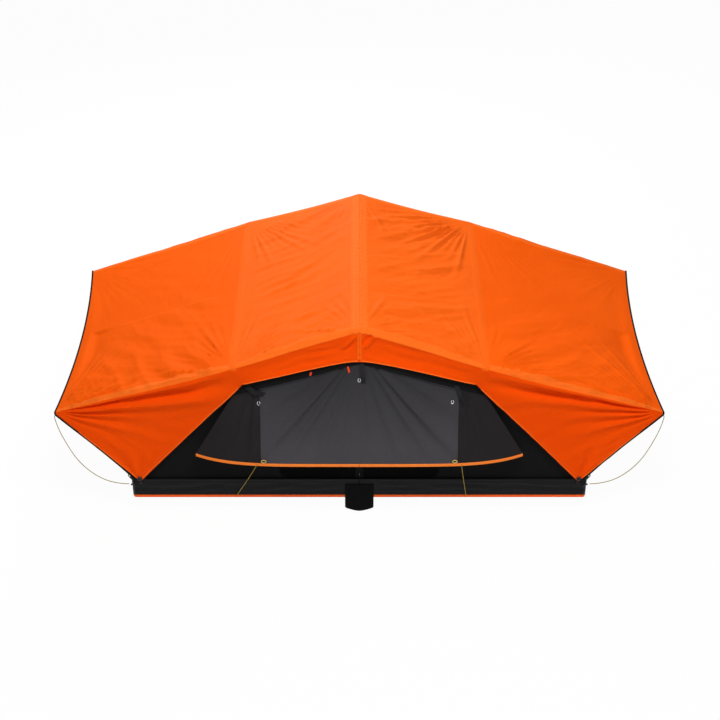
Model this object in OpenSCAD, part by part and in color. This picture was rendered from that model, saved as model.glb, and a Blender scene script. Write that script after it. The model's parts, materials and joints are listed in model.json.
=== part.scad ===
// Fold-out roof top tent, opened, in millimetres.
// The fold line lies along Y. The fixed half is at negative X of the fold, the folding half at positive X.

/* [Base] */
// Length of the opened base, both halves together
base_l = 2400; // [2000:10:2600]
// Width of the base along the fold
base_w = 1400; // [1200:10:1600]
// Plan radius of the base corners
corner_r = 16; // [10:1:16]
// Gap between the two halves at the fold
fold_gap = 4; // [2:0.5:10]
// Height of the orange edge channel
edge_h = 16; // [12:1:30]
// Wall of the edge channel
edge_wall = 2; // [1:0.5:4]
// Depth of the edge channel flanges
edge_depth = 19; // [14:1:19]
// Clearance of the floor panel in the edge channel
panel_fit = 0.1; // [0.05:0.05:0.5]

/* [Skirt] */
// Height of the black skirt
skirt_h = 107; // [80:1:140]
// Thickness of the skirt
skirt_t = 3; // [2:0.5:5]

/* [Mattress] */
// Thickness of the mattress
mattress_h = 60; // [40:1:62]
// Gap between the mattress and the base edge
mattress_gap = 58; // [54:1:80]
// Length of the notch for the hinge bracket
notch_l = 132; // [128:1:200]
// Radius of the mattress corners
mattress_r = 40; // [20:1:60]

/* [Rails] */
// Width of a mounting rail between its flanges
rail_w = 44; // [40:1:60]
// Height of a mounting rail
rail_h = 30; // [24:1:40]
// Wall of a mounting rail
rail_t = 3; // [2:0.5:4]
// Width of each rail flange
rail_flange = 22; // [18:1:30]
// Length of a mounting rail
rail_l = 1080; // [1040:10:1100]
// Distance between the two rails
rail_pitch = 800; // [600:10:900]
// Width of a mounting slot
slot_w = 9; // [8:0.5:12]
// Length of a mounting slot
slot_l = 300; // [200:10:320]
// Distance between the slots of one rail
slot_pitch = 650; // [500:10:680]
// Diameter of a rivet shank
rivet_d = 6; // [4:0.5:8]
// Diameter of a rivet head
rivet_head = 12; // [10:0.5:14]
// Radial clearance of rivets in their holes
rivet_fit = 0.05; // [0.02:0.01:0.1]

/* [Hinge] */
// Height of the fold pivot above the skirt
hinge_rise = 17; // [15:0.5:30]
// Diameter of the hinge pin
pin_d = 12; // [10:0.5:16]
// Radial clearance of the pin in its bores
pin_fit = 0.05; // [0.02:0.01:0.1]
// Thickness of a hinge ear
ear_t = 6; // [4:0.5:8]
// Radius of a hinge ear at the pivot
ear_r = 18; // [16:0.5:22]
// Distance from the base edge to the outer hinge ear
ear_inset = 22; // [20:0.5:30]
// Length of a hinge bracket along the floor
bracket_l = 100; // [80:1:110]
// Gap between neighbouring ears
ear_gap = 0.5; // [0.3:0.1:1]
// Thickness of the pin head and the nut
nut_t = 6; // [5:0.5:8]
// Axial play of spacers and lugs
play = 0.2; // [0.1:0.05:0.4]

/* [Bows] */
// Diameter of a bow tube
bow_d = 22; // [18:1:25]
// Height of the middle bow bar above the base underside
ridge_z = 1055; // [900:5:1200]
// Distance from the fold to a side bow bar
side_x = 622; // [500:2:700]
// Height of a side bow bar above the base underside
side_z = 850; // [700:2:950]
// Bend radius of the bow corners
bend_r = 80; // [60:1:120]
// Gap between neighbouring bow legs
leg_gap = 2; // [1.5:0.5:4]
// Thickness of a bow lug
lug_t = 10; // [8:0.5:14]
// Radius of a bow lug at the pivot
lug_r = 16; // [14:0.5:20]
// Distance from the pivot to the tube end
lug_l = 46; // [40:1:60]
// Diameter of the lug spigot
plug_d = 15; // [12:0.5:16]
// Length of the lug spigot
plug_l = 36; // [24:1:50]

/* [Awning rods] */
// Diameter of an awning rod
rod_d = 8; // [6:0.5:9]
// Distance from the base end to the rod pivot
rod_out = 14; // [13:0.5:20]
// Height of the rod pivot above the skirt
rod_rise = 8; // [7:0.5:8]
// Distance from the base edge to the rod
rod_inset = 28; // [26:0.5:30]
// Radius of the rod eye
eye_r = 8; // [7:0.5:8.5]
// Diameter of the rod pivot pin
rod_pin_d = 5; // [4:0.5:6]
// Thickness of a rod bracket ear
fork_t = 5; // [4:0.5:6]
// Radius of a rod end cap
cap_r = 7; // [6:0.5:8]

/* [Cloth] */
// Thickness of the rain fly
fly_t = 2.4; // [1.5:0.1:4]
// Thickness of the tent body cloth
body_t = 2; // [1.5:0.1:3]
// Distance from the base edge to the tent body wall
body_inset = 10; // [9:0.5:12]
// Clearance between cloth and what it lies on
lay = 0.3; // [0.2:0.05:0.5]
// Distance from the fold to the outer corners of the fly
tip_x = 1559; // [1450:1:1700]
// Height of the outer corners of the fly
tip_z = 556; // [480:1:620]
// Front overhang of the fly at the ridge
fly_front = 2; // [1:0.5:12]
// Front overhang of the fly at the side bow
fly_bow_front = 40; // [25:1:60]
// Depth that the outer edge of the fly curves in
fly_cut = 40; // [10:1:80]
// Height of the arch over the window at the fold
arch_z = 876; // [800:1:930]
// Height of the arch at the side bow
knee_z = 745; // [650:1:780]
// Height of the lower corner of the fly wing
wing_z = 131; // [128:0.5:160]
// Distance from the fold to the lower corner of the fly wing
wing_x = 1155; // [1000:1:1170]
// Depth of the wing creases
crease = 6; // [2:0.5:9]

/* [Window] */
// Half width of the front window
win_x = 430; // [300:5:480]
// Height of the window sill
win_z0 = 112; // [80:1:150]
// Height of the window top
win_z1 = 690; // [500:5:720]
// Radius of the window's lower corners
win_r = 85; // [40:1:120]
// Half width of the seam at the fold
win_seam = 14; // [8:1:30]
// Half width of the end opening
door_y = 400; // [300:5:480]
// Height of the window flap hem
hem_z = 308; // [250:1:360]
// Half width of the window flap hem
hem_x = 846; // [700:2:880]
// Reach of the flap hem in front of the base at the fold
hem_out = 135; // [80:1:180]
// Reach of the flap hem at its ends
hem_end = 46; // [10:1:80]
// Height of the hem band
hem_h = 18; // [12:1:30]
// Thickness of the window flap
flap_t = 2; // [1.5:0.1:3]
// Depth of the window flap folds
flap_fold = 7; // [2:0.5:12]
// Width of a flap strap
strap_w = 25; // [15:1:40]

/* [Cords] */
// Diameter of a cord
cord_d = 4; // [3:0.5:5]
// Foot of the flap cords on the fixed half, from the fold
foot_fixed = 656; // [560:1:700]
// Foot of the flap cords on the folding half, from the fold
foot_moving = 568; // [540:1:700]

/* [Fold cover] */
// Half width of the cover that hangs over the fold
tab_x = 76; // [50:1:100]
// Height of the cover's upper edge
tab_top = 89; // [60:1:105]
// Depth of the cover below the base
tab_low = 89; // [40:1:110]

/* [Hidden] */
$fn = 32;
eps = 0.01;
half_l = base_l / 2;
half_w = base_w / 2;
skirt_top = edge_h + skirt_h;
hinge_z = skirt_top + hinge_rise;
floor_z = edge_h - edge_wall;
// Lanes along the hinge pin, from the outer ear inwards
ear_fo = half_w - ear_inset;
ear_mo = ear_fo - ear_t - ear_gap;
lane_c = ear_mo - ear_t - leg_gap - bow_d / 2;
lane_f = lane_c - bow_d - leg_gap;
lane_m = lane_f - bow_d - leg_gap;
ear_mi = lane_m - bow_d / 2 - leg_gap / 2;
ear_fi = ear_mi - ear_t - ear_gap;
pin_in = ear_fi - ear_t;
notch_y = pin_in - nut_t - 8;
// Bows seen from the front, about the pivot
r_c = ridge_z - hinge_z;
r_s = norm([side_x, side_z - hinge_z]);
a_s = atan2(side_z - hinge_z, side_x);
// Awning rods
eye_t = rod_d + 1;
fork_y = eye_t / 2 + play;
rod_px = half_l + rod_out;
rod_pz = skirt_top + rod_rise;
rod_y = half_w - rod_inset;
cap_x = tip_x - cap_r - 8;
cap_z = tip_z - fly_t - lay - cap_r - 6;
rod_len = norm([cap_x - rod_px, cap_z - rod_pz]);
rod_a = atan2(cap_z - rod_pz, cap_x - rod_px);
tip_y = half_w - 6;
// Tent body, seen from the front, as lines laid on the bows
body_y = half_w - body_inset;
body_d = bow_d / 2 + lay + body_t;
end_x = half_l - skirt_t - 6;
end_z = edge_h + lay;
function unit(v) = v / norm(v);
function cross2(a, b) = a[0] * b[1] - a[1] * b[0];
function meet(p, u, q, v) = p + u * (cross2(q - p, v) / cross2(u, v));
function left(u) = [-u[1], u[0]];
roof_u = unit([-side_x, side_z - ridge_z]);
function roof_p(d) = [0, ridge_z] - left(roof_u) * d;
// End wall from the base to the side bow, laid outside the bow by d
function end_dir(d) = let (v = [-side_x + end_x, side_z - end_z], l = norm(v), s = asin(d / l))
  [cos(s) * v[0] / l - sin(s) * v[1] / l, sin(s) * v[0] / l + cos(s) * v[1] / l];
end_u = end_dir(body_d);
end_n = [-end_u[1], end_u[0]];
function end_p(k) = [-end_x, end_z] - end_n * k;
function body_corner(k) = meet(roof_p(body_d - k), roof_u, end_p(k), end_u);
function body_ridge(k) = meet(roof_p(body_d - k), roof_u, [0, 0], [0, 1]);
// Fly, lying on the tent body
fly_d = body_d + lay + fly_t;
function roof_z(x) = let (p = roof_p(fly_d)) p[1] + roof_u[1] / roof_u[0] * (x - p[0]);
bow_x = side_x + 12;
knee_x = bow_x - 34;
flap_y = half_w - body_inset + lay + flap_t / 2 + 2.5;
fly_y = half_w + fly_front;
knee_y = half_w + 18;
// Slack of the cloth between its supports
fly_sag = 9;
valance_out = 6;

// Placing and copying
module place() {
  translate([half_l / 2, 0, rail_h - edge_wall - panel_fit]) children();
}
module both_y() {
  children();
  mirror([0, 1, 0]) children();
}
module folding() {
  mirror([1, 0, 0]) children();
}
// Plate standing in the X-Z plane, from y0 towards positive Y
module slab(y0, t) {
  translate([0, y0 + t, 0]) rotate([90, 0, 0]) linear_extrude(t) children();
}
module round_rect(x0, y0, x1, y1, r) {
  translate([x0 + r, y0]) square([x1 - x0 - 2 * r, y1 - y0]);
  translate([x0, y0 + r]) square([x1 - x0, y1 - y0 - 2 * r]);
  for (x = [x0 + r, x1 - r], y = [y0 + r, y1 - r]) translate([x, y]) circle(r);
}
// Plan of the fixed half, set in by d, ending at the fold gap
module plan(d) {
  intersection() {
    round_rect(-half_l + d, -half_w + d, half_l, half_w - d, max(corner_r - d, 1));
    translate([-half_l, -half_w]) square([half_l - fold_gap / 2, base_w]);
  }
}

// Cloth as a sheet between an outer and an inner grid of points
function quad(a, b, c, d) = [[a, c, b], [a, d, c]];
function sheet_faces(nr, nc) = let (n = nr * nc) concat(
  [for (i = [0:nr - 2], j = [0:nc - 2])
    each quad(i * nc + j, (i + 1) * nc + j, (i + 1) * nc + j + 1, i * nc + j + 1)],
  [for (i = [0:nr - 2], j = [0:nc - 2])
    each quad(n + i * nc + j, n + i * nc + j + 1, n + (i + 1) * nc + j + 1, n + (i + 1) * nc + j)],
  [for (j = [0:nc - 2]) each quad(j, j + 1, n + j + 1, n + j)],
  [for (j = [0:nc - 2]) let (k = (nr - 1) * nc + j) each quad(k + 1, k, n + k, n + k + 1)],
  [for (i = [0:nr - 2]) let (k = i * nc) each quad(k + nc, k, n + k, n + k + nc)],
  [for (i = [0:nr - 2]) let (k = i * nc + nc - 1) each quad(k, k + nc, n + k + nc, n + k)]);
module sheet(p, q) {
  pts = concat([for (r = p) each r], [for (r = q) each r]);
  polyhedron(pts, sheet_faces(len(p), len(p[0])), convexity = 6);
}
// Round cord along a list of points
function ring_at(p, i, d, n) = let (
    t = unit(p[min(i + 1, len(p) - 1)] - p[max(i - 1, 0)]),
    s = unit(cross(t, [0.1, 1, 0.05])),
    u = cross(s, t))
  [for (k = [0:n - 1]) p[i] + (s * cos(360 * k / n) + u * sin(360 * k / n)) * d / 2];
module cord(p, d, n = 8) {
  m = len(p);
  pts = concat([for (i = [0:m - 1]) each ring_at(p, i, d, n)], [p[0], p[m - 1]]);
  faces = concat(
    [for (i = [0:m - 2], k = [0:n - 1])
      each quad(i * n + k, i * n + (k + 1) % n, (i + 1) * n + (k + 1) % n, (i + 1) * n + k)],
    [for (k = [0:n - 1]) [m * n, k, (k + 1) % n]],
    [for (k = [0:n - 1]) [m * n + 1, (m - 1) * n + (k + 1) % n, (m - 1) * n + k]]);
  polyhedron(pts, faces, convexity = 6);
}

// Base of one half
module floor_panel() {
  difference() {
    translate([0, 0, edge_wall + panel_fit])
      linear_extrude(edge_h - 2 * edge_wall - 2 * panel_fit) plan(edge_wall + panel_fit);
    both_y() for (x = bracket_xs, y = bracket_ys)
      translate([-x, y, 0]) cylinder(h = edge_h, d = rivet_d + 2 * rivet_fit);
  }
}
module floor_panel_railed() {
  difference() {
    floor_panel();
    rivet_holes(edge_h);
  }
}
module edge_channel() {
  difference() {
    linear_extrude(edge_h) plan(0);
    translate([0, 0, edge_wall]) linear_extrude(edge_h - 2 * edge_wall)
      intersection() {
        round_rect(-half_l + edge_wall, -half_w + edge_wall, half_l, half_w - edge_wall,
          max(corner_r - edge_wall, 1));
        translate([-half_l, -half_w]) square([half_l + 1, base_w]);
      }
    translate([-half_l + edge_depth, -half_w + edge_depth, -1])
      cube([half_l, base_w - 2 * edge_depth, edge_h + 2]);
  }
}
module skirt() {
  translate([0, 0, edge_h]) linear_extrude(skirt_h) difference() {
    plan(0);
    intersection() {
      round_rect(-half_l + skirt_t, -half_w + skirt_t, half_l, half_w - skirt_t, max(corner_r - skirt_t, 1));
      translate([-half_l, -half_w]) square([half_l + 1, base_w]);
    }
  }
}
module mattress() {
  x0 = -half_l + mattress_gap;
  x1 = -fold_gap / 2 - 4;
  y1 = half_w - mattress_gap;
  translate([0, 0, floor_z]) difference() {
    linear_extrude(mattress_h) difference() {
      round_rect(x0, -y1, x1 + mattress_r, y1, mattress_r);
      translate([x1, -half_w]) square([mattress_r * 2, base_w]);
      for (s = [-1, 1]) translate([-notch_l, s > 0 ? notch_y : -half_w]) square([notch_l, half_w - notch_y]);
    }
    // Eased upper edge along the outer sides
    for (s = [-1, 1]) translate([x0 - 1, s * y1, mattress_h]) rotate([45, 0, 0])
      translate([0, -8, -8]) cube([half_l, 16, 16]);
    translate([x0, -half_w, mattress_h]) rotate([0, 45, 0]) translate([-8, 0, -8]) cube([16, base_w, 16]);
  }
}

// Mounting rails under the fixed half
rail_x = -half_l / 2;
rivet_xs = [for (i = [0:3]) rail_x + (i - 1.5) * (rail_l - 60) / 3];
rivet_y = rail_w / 2 + rail_flange / 2;
module rivet_holes(top) {
  for (x = rivet_xs, s = [-1, 1], k = [-1, 1])
    translate([x, s * rail_pitch / 2 + k * rivet_y, -rail_h])
      cylinder(h = rail_h + top, d = rivet_d + 2 * rivet_fit);
}
module hat_profile() {
  w = rail_w / 2;
  f = w + rail_flange;
  u = rail_h - rail_t;
  polygon([[-w, 0], [w, 0], [w, u], [f, u], [f, rail_h], [w - rail_t, rail_h], [w - rail_t, rail_t],
    [-w + rail_t, rail_t], [-w + rail_t, rail_h], [-f, rail_h], [-f, u], [-w, u]]);
}
module mounting_slot() {
  a = (slot_l - slot_w) / 2;
  for (e = [-a, a]) translate([e, 0, 0]) cylinder(h = rail_t + 6, d = slot_w);
  translate([-a, -slot_w / 2, 0]) cube([2 * a, slot_w, rail_t + 6]);
}
module mounting_rails() {
  color("silver") difference() {
    for (s = [-1, 1]) translate([rail_x - rail_l / 2, s * rail_pitch / 2, edge_wall + panel_fit - rail_h])
      rotate([90, 0, 90]) linear_extrude(rail_l) hat_profile();
    rivet_holes(edge_wall + 1);
    for (s = [-1, 1], k = [-1, 1])
      translate([rail_x + k * slot_pitch / 2, s * rail_pitch / 2, -rail_h - 1]) mounting_slot();
  }
}
module rail_rivets() {
  z = edge_wall + panel_fit - rail_t;
  color("gainsboro") for (x = rivet_xs, s = [-1, 1], k = [-1, 1])
    translate([x, s * rail_pitch / 2 + k * rivet_y, z]) {
      translate([0, 0, -3]) cylinder(h = 3, d1 = rivet_head - 4, d2 = rivet_head);
      cylinder(h = rail_t + 8, d = rivet_d);
    }
}

// Fold hinge: ears on a foot plate, one pin on each side
bracket_xs = [bracket_l * 0.35, bracket_l];
bracket_ys = [ear_mi + rivet_head / 2 + 2, ear_mo - ear_t - rivet_head / 2 - 2];
foot_t = 4;
module ear_shape() {
  difference() {
    hull() {
      translate([0, hinge_z]) circle(ear_r);
      translate([-bracket_l - 12, floor_z]) square([bracket_l, foot_t]);
    }
    translate([0, hinge_z]) circle(pin_d / 2 + pin_fit);
    translate([-bracket_l * 0.62, floor_z + 34]) circle(13);
  }
}
module hinge_bracket(y_out, y_in) {
  color("gray") both_y() difference() {
    union() {
      slab(y_out - ear_t, ear_t) ear_shape();
      slab(y_in - ear_t, ear_t) ear_shape();
      translate([-bracket_l - 12, y_in - ear_t, floor_z]) cube([bracket_l, y_out - y_in + ear_t, foot_t]);
    }
    for (x = bracket_xs, y = bracket_ys)
      translate([-x, y, 0]) cylinder(h = floor_z + foot_t + 1, d = rivet_d + 2 * rivet_fit);
  }
}
module bracket_screws() {
  both_y() for (x = bracket_xs, y = bracket_ys) translate([-x, y, floor_z - 9]) {
    cylinder(h = 9 + foot_t, d = rivet_d);
    translate([0, 0, 9 + foot_t]) difference() {
      cylinder(h = 5, d = rivet_head);
      translate([0, 0, 2]) cylinder(h = 4, d = rivet_d, $fn = 6);
    }
  }
}
module along_y(y0, y1, d) {
  translate([0, y1, hinge_z]) rotate([90, 0, 0]) cylinder(h = y1 - y0, d = d);
}
module hinge_pins() {
  color("silver") both_y() {
    along_y(pin_in - nut_t - 2, ear_fo, pin_d);
    translate([0, ear_fo + nut_t, hinge_z]) rotate([90, 0, 0])
      cylinder(h = nut_t, d1 = pin_d + 4, d2 = pin_d + 8);
  }
}
module hinge_nuts() {
  color("silver") both_y() difference() {
    translate([0, pin_in, hinge_z]) rotate([90, 0, 0]) cylinder(h = nut_t, d = pin_d + 9, $fn = 6);
    along_y(pin_in - nut_t - 1, pin_in + 1, pin_d + 2 * pin_fit);
  }
}
lug_half = lug_t / 2 + play;
spacer_ys = [[ear_mi + play, lane_m - lug_half], [lane_m + lug_half, lane_f - lug_half],
  [lane_f + lug_half, lane_c - lug_half], [lane_c + lug_half, ear_mo - ear_t - play]];
module hinge_spacers() {
  color("white") both_y() for (s = spacer_ys) difference() {
    along_y(s[0], s[1], pin_d + 8);
    along_y(s[0] - 1, s[1] + 1, pin_d + 2 * pin_fit);
  }
}

// Bows: a bent tube on two pivot lugs, drawn upright about the pivot and tilted
module tilt(a) {
  translate([0, 0, hinge_z]) rotate([0, a, 0]) children();
}
module bow_tube(r, y) {
  color("silver") difference() {
    union() {
      both_y() {
        translate([0, y, lug_l]) cylinder(h = r - bend_r - lug_l, d = bow_d);
        translate([0, y - bend_r, r - bend_r]) rotate([0, -90, 0]) rotate_extrude(angle = 90, $fn = 48)
          translate([bend_r, 0]) circle(d = bow_d, $fn = 24);
      }
      translate([0, y - bend_r, r]) rotate([90, 0, 0]) cylinder(h = 2 * (y - bend_r), d = bow_d);
    }
    both_y() translate([0, y, lug_l - 1]) cylinder(h = plug_l + 3, d = plug_d + 2 * rivet_fit);
  }
}
module bow_lugs(y) {
  both_y() {
    slab(y - lug_t / 2, lug_t) difference() {
      hull() {
        circle(lug_r);
        translate([-bow_d / 2, lug_l - 2]) square([bow_d, 2]);
      }
      circle(pin_d / 2 + pin_fit);
    }
    translate([0, y, lug_l - 3]) cylinder(h = plug_l + 3, d = plug_d < lug_t ? plug_d : lug_t - eps);
    translate([0, y, lug_l]) cylinder(h = plug_l, d = plug_d);
  }
}

// Awning rods with eyes, turning in forks on the base ends
module rod_frame() {
  translate([-rod_px, rod_y, rod_pz]) rotate([0, -(90 - rod_a), 0]) children();
}
module awning_rods() {
  both_y() rod_frame() difference() {
    union() {
      cylinder(h = rod_len, d = rod_d);
      rotate([90, 0, 0]) translate([0, 0, -eye_t / 2]) cylinder(h = eye_t, r = eye_r);
    }
    rotate([90, 0, 0]) translate([0, 0, -rod_d]) cylinder(h = 2 * rod_d, d = rod_pin_d + 2 * pin_fit);
  }
}
module rod_caps() {
  both_y() rod_frame() difference() {
    translate([0, 0, rod_len - 18]) {
      cylinder(h = 18, r = cap_r, $fn = 20);
      translate([0, 0, 18]) sphere(r = cap_r, $fn = 20);
    }
    translate([0, 0, rod_len - 19]) cylinder(h = 19, d = rod_d + 2 * rivet_fit, $fn = 16);
  }
}
fork_top = min(eye_r, hinge_z - rod_pz - 0.5);
module rod_brackets() {
  both_y() translate([0, rod_y, 0]) difference() {
    union() {
      translate([-half_l - 3, -fork_y - fork_t, 0]) cube([3, 2 * (fork_y + fork_t), rod_pz + fork_top]);
      for (y = [-fork_y - fork_t, fork_y]) slab(y, fork_t) intersection() {
        hull() {
          translate([-rod_px, rod_pz]) circle(eye_r);
          translate([-half_l - 3, rod_pz - 30]) square([3, 30 + fork_top]);
        }
        translate([-rod_px - eye_r, 0]) square([rod_out + eye_r, rod_pz + fork_top]);
      }
    }
    // Way through the plate for the rod when it lies folded in
    translate([-half_l - 4, -fork_y, rod_pz - rod_d / 2 - 2.5]) cube([5, 2 * fork_y, eye_r * 3]);
    translate([-rod_px, 0, rod_pz]) rotate([90, 0, 0])
      cylinder(h = 4 * fork_y + 4 * fork_t, d = rod_pin_d + 2 * pin_fit, center = true);
  }
}
module rod_pins() {
  both_y() translate([-rod_px, rod_y, rod_pz]) rotate([90, 0, 0]) {
    cylinder(h = 2 * (fork_y + fork_t), d = rod_pin_d, center = true, $fn = 20);
    for (s = [-1, 1]) translate([0, 0, s * (fork_y + fork_t + 0.75)])
      cylinder(h = 1.5, d = rod_pin_d + 4, center = true, $fn = 20);
  }
}

// Tent body half: a cloth shell laid over the bows, with window and end openings
module body_outline(k) {
  c = body_corner(k);
  r = body_ridge(k);
  e = end_p(k);
  f = e - end_u * 60;
  x = k > 0 ? 1 : -0.15;
  polygon([[x, k > 0 ? -60 : end_z], [x, r[1] + x * roof_u[1] / roof_u[0]], c, k > 0 ? f : e]);
}
module window_shape(d) {
  x0 = -win_x + d;
  x1 = -win_seam - d;
  z0 = win_z0 + d;
  z1 = win_z1 - d;
  r = win_r - d;
  t = r * 0.7;
  difference() {
    translate([x0, z0]) square([x1 - x0, z1 - z0]);
    translate([x0, z0]) difference() {
      square(r);
      translate([r, r]) circle(r);
    }
    // Upper corner cut along the bow leg
    translate([x0, z1]) polygon([[-1, 1], [-1, -t * 2], [t * 2, 1]]);
  }
}
door_s0 = 170;
door_s1 = norm(body_corner(0) - end_p(0)) - 120;
module on_end(k) {
  p = end_p(k);
  translate([p[0], 0, p[1]]) rotate([0, -atan2(end_u[1], end_u[0]), 0]) children();
}
module tent_body() {
  difference() {
    slab(-body_y, 2 * body_y) body_outline(0);
    slab(-body_y + body_t, 2 * (body_y - body_t)) body_outline(body_t);
    both_y() slab(body_y - body_t - 1, body_t + 2) window_shape(0);
    on_end(0) translate([0, 0, -body_t - 2]) linear_extrude(body_t + 4)
      round_rect(door_s0, -door_y, door_s1, door_y, win_r);
  }
}
module window_mesh() {
  both_y() slab(body_y - body_t / 2 - 0.4, 0.8) window_shape(lay);
}
module end_mesh() {
  on_end(body_t / 2) translate([0, 0, -0.4]) linear_extrude(0.8)
    round_rect(door_s0 + lay, -door_y + lay, door_s1 - lay, door_y - lay, win_r - lay);
}

// Fly between the ridge and a side bow, with the valances that frame the windows
roof_n = 9;
roof_m = 10;
val_n = 4;
// Nearly straight from a rounded peak at the fold to the knee at the bow
arch_round = 0.11;
function val_z(t) = arch_z - (arch_z - knee_z) * (norm([t, arch_round]) - arch_round)
  / (norm([1, arch_round]) - arch_round);
function roof_top(t, y) = let (x = lay / 2 + t * (bow_x - lay)) [-x, y, roof_z(-x)];
function roof_edge(t) = fly_y + (fly_bow_front - fly_front) * t * t;
// Small pleats at the bow ends of the roof
function pleat(t, v) = 3 * (1 - v) * v * 4 * pow(sin(180 * 4 * t), 2);
function val_pt(t, v, o) = let (
    e = roof_top(t, 0),
    x = e[0] * (1 - v) - t * knee_x * v - (1 - t) * lay / 2 * v)
  [x, -roof_edge(t) - valance_out * v * (1 - t * t) + (roof_edge(t) - knee_y) * v * t * t - pleat(t, v) + o,
    e[2] + (val_z(t) - e[2]) * v];
function roof_row(t, o) = let (w = roof_edge(t)) concat(
  [for (k = [val_n:-1:1]) val_pt(t, k / val_n, o)],
  [for (j = [0:roof_m]) let (s = j / roof_m * 2 - 1) roof_top(t, s * (w - o)) - [0, 0, o]],
  [for (k = [1:val_n]) let (p = val_pt(t, k / val_n, o)) [p[0], -p[1], p[2]]]);
module fly_roof() {
  p = [for (i = [0:roof_n]) roof_row(i / roof_n, 0)];
  q = [for (i = [0:roof_n]) roof_row(i / roof_n, fly_t)];
  sheet(q, p);
}

// Fly between a side bow and the awning rods, with the wings drawn down to the base
wing_n = 7;
wing_u = (wing_x - knee_x) / (tip_x - knee_x);
wing_us = concat([for (i = [0:wing_n]) wing_u * i / wing_n],
  [for (i = [1:wing_n]) wing_u + (1 - wing_u) * i / wing_n]);
wing_m = 12;
wing_v = 7;
// Depth of the wing at its tip and bow of its outer hem
tip_drop = 16;
hem_bow = 4;
function awn_x(u, s) = bow_x + lay / 2 + u * (tip_x - bow_x - fly_cut * (1 - s * s) * u);
function awn_z(u, s) = let (z0 = roof_z(-bow_x))
  z0 + (tip_z - z0) * u - fly_sag * sin(180 * u) * (1 - s * s);
function awn_w(u) = fly_y + (fly_bow_front - fly_front) * (1 - u) + (tip_y - fly_y) * u;
function wing_low(x) = x < wing_x ? knee_z + (wing_z - knee_z) * (x - knee_x) / (wing_x - knee_x)
  : let (t = (x - wing_x) / (tip_x - wing_x))
    wing_z + (tip_z - tip_drop - wing_z) * t + hem_bow * sin(180 * t);
function wing_pt(u, v, o) = let (
    x = awn_x(u, 1) - (1 - u) * (bow_x - knee_x) * v,
    zt = awn_z(u, 1) - o,
    zl = wing_low(min(x, tip_x)),
    z = zt + (zl - zt) * v,
    r = norm([tip_x - x, tip_z - z]) / (tip_x - knee_x),
    a = atan2(tip_z - z, tip_x - x),
    c = crease * min(r * 1.6, 1) * sin(a * 9) * min(4 * v, 1) * min(4 * (1 - u), 1))
  [-x, -awn_w(u) + (awn_w(u) - knee_y) * v * (1 - u) + c + o, z];
function awn_row(u, o) = let (w = awn_w(u)) concat(
  [for (k = [wing_v:-1:1]) wing_pt(u, k / wing_v, o)],
  [for (j = [0:wing_m]) let (s = j / wing_m * 2 - 1) [-awn_x(u, s), s * (w - o), awn_z(u, s) - o]],
  [for (k = [1:wing_v]) let (p = wing_pt(u, k / wing_v, o)) [p[0], -p[1], p[2]]]);
module fly_awning() {
  p = [for (u = wing_us) awn_row(u, 0)];
  q = [for (u = wing_us) awn_row(u, fly_t)];
  sheet(q, p);
}

// Window flap: hangs from under the arch and reaches out to its hem
flap_n = 16;
flap_m = 6;
function flap_top(s) = [-s * knee_x, -flap_y + 2.5, val_z(s) + 14];
// The hem runs nearly straight and curves back towards its ends
hem_curve = 5;
function flap_low(s) = [-s * hem_x, -flap_y - hem_out + (hem_out - hem_end) * pow(s, hem_curve),
  hem_z + hem_h + lay];
function flap_pt(s, v, o) = let (
    t = flap_top(s),
    b = flap_low(s),
    f = flap_fold * v * (0.5 - 0.5 * cos(360 * 2.5 * s)) * (1 - 0.6 * v))
  t + (b - t) * v + [-lay / 2, -o - f, o * 0.2];
module window_flap() {
  p = [for (i = [0:flap_n]) [for (j = [0:flap_m]) flap_pt(i / flap_n, j / flap_m, flap_t / 2)]];
  q = [for (i = [0:flap_n]) [for (j = [0:flap_m]) flap_pt(i / flap_n, j / flap_m, -flap_t / 2)]];
  both_y() sheet(p, q);
}
function hem_pt(s, o, z) = let (b = flap_pt(s, 1, o)) [b[0], b[1], z];
module flap_hem() {
  p = [for (i = [0:flap_n]) [for (z = [hem_z + hem_h, hem_z]) hem_pt(i / flap_n, flap_t / 2 + 0.5, z)]];
  q = [for (i = [0:flap_n]) [for (z = [hem_z + hem_h, hem_z]) hem_pt(i / flap_n, -flap_t / 2 - 0.5, z)]];
  both_y() sheet(p, q);
}
// Places of the straps over the flap, each with the height of its hook, and their span down the flap
strap_inner = [0.03, 2.4];
strap_outer = [0.75, 3.3];
strap_pair = [strap_inner, strap_outer];
strap_v0 = 0.06;
strap_v1 = 0.32;
hook_v = 0.36;
function strap_pt(s, k, v, o) = flap_pt(s + k * strap_w / 2 / (knee_x + (hem_x - knee_x) * v), v, o);
function strap_down(k) = strap_v0 + (strap_v1 - strap_v0) * k;
module flap_straps(straps) {
  both_y() for (a = straps) {
    p = [for (k = [-1, 1]) [for (j = [0:4]) strap_pt(a[0], k, strap_down(j / 4), flap_t / 2 + 2.2)]];
    q = [for (k = [-1, 1]) [for (j = [0:4]) strap_pt(a[0], k, strap_down(j / 4), flap_t / 2 + 0.8)]];
    sheet(p, q);
  }
}
module flap_hooks(straps) {
  both_y() for (a = straps)
    translate(strap_pt(a[0], 0, hook_v, flap_t / 2 + a[1])) rotate([77, 0, 0]) difference() {
      cylinder(h = 3, r = 13, center = true);
      cylinder(h = 4, r = 9, center = true);
      translate([3, 2, -2]) cube([12, 6, 4]);
    }
}
eyelet_s = 0.62;
hem_turn = atan(hem_curve * (hem_out - hem_end) * pow(eyelet_s, hem_curve - 1) / hem_x);
module hem_eyelets() {
  both_y() translate(hem_pt(eyelet_s, flap_t / 2 + 0.5 + lay + 1.4, hem_z + hem_h / 2))
    rotate([0, 0, -hem_turn]) rotate([90, 0, 0])
      rotate_extrude($fn = 24) translate([6, 0]) circle(1.2, $fn = 8);
}
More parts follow.
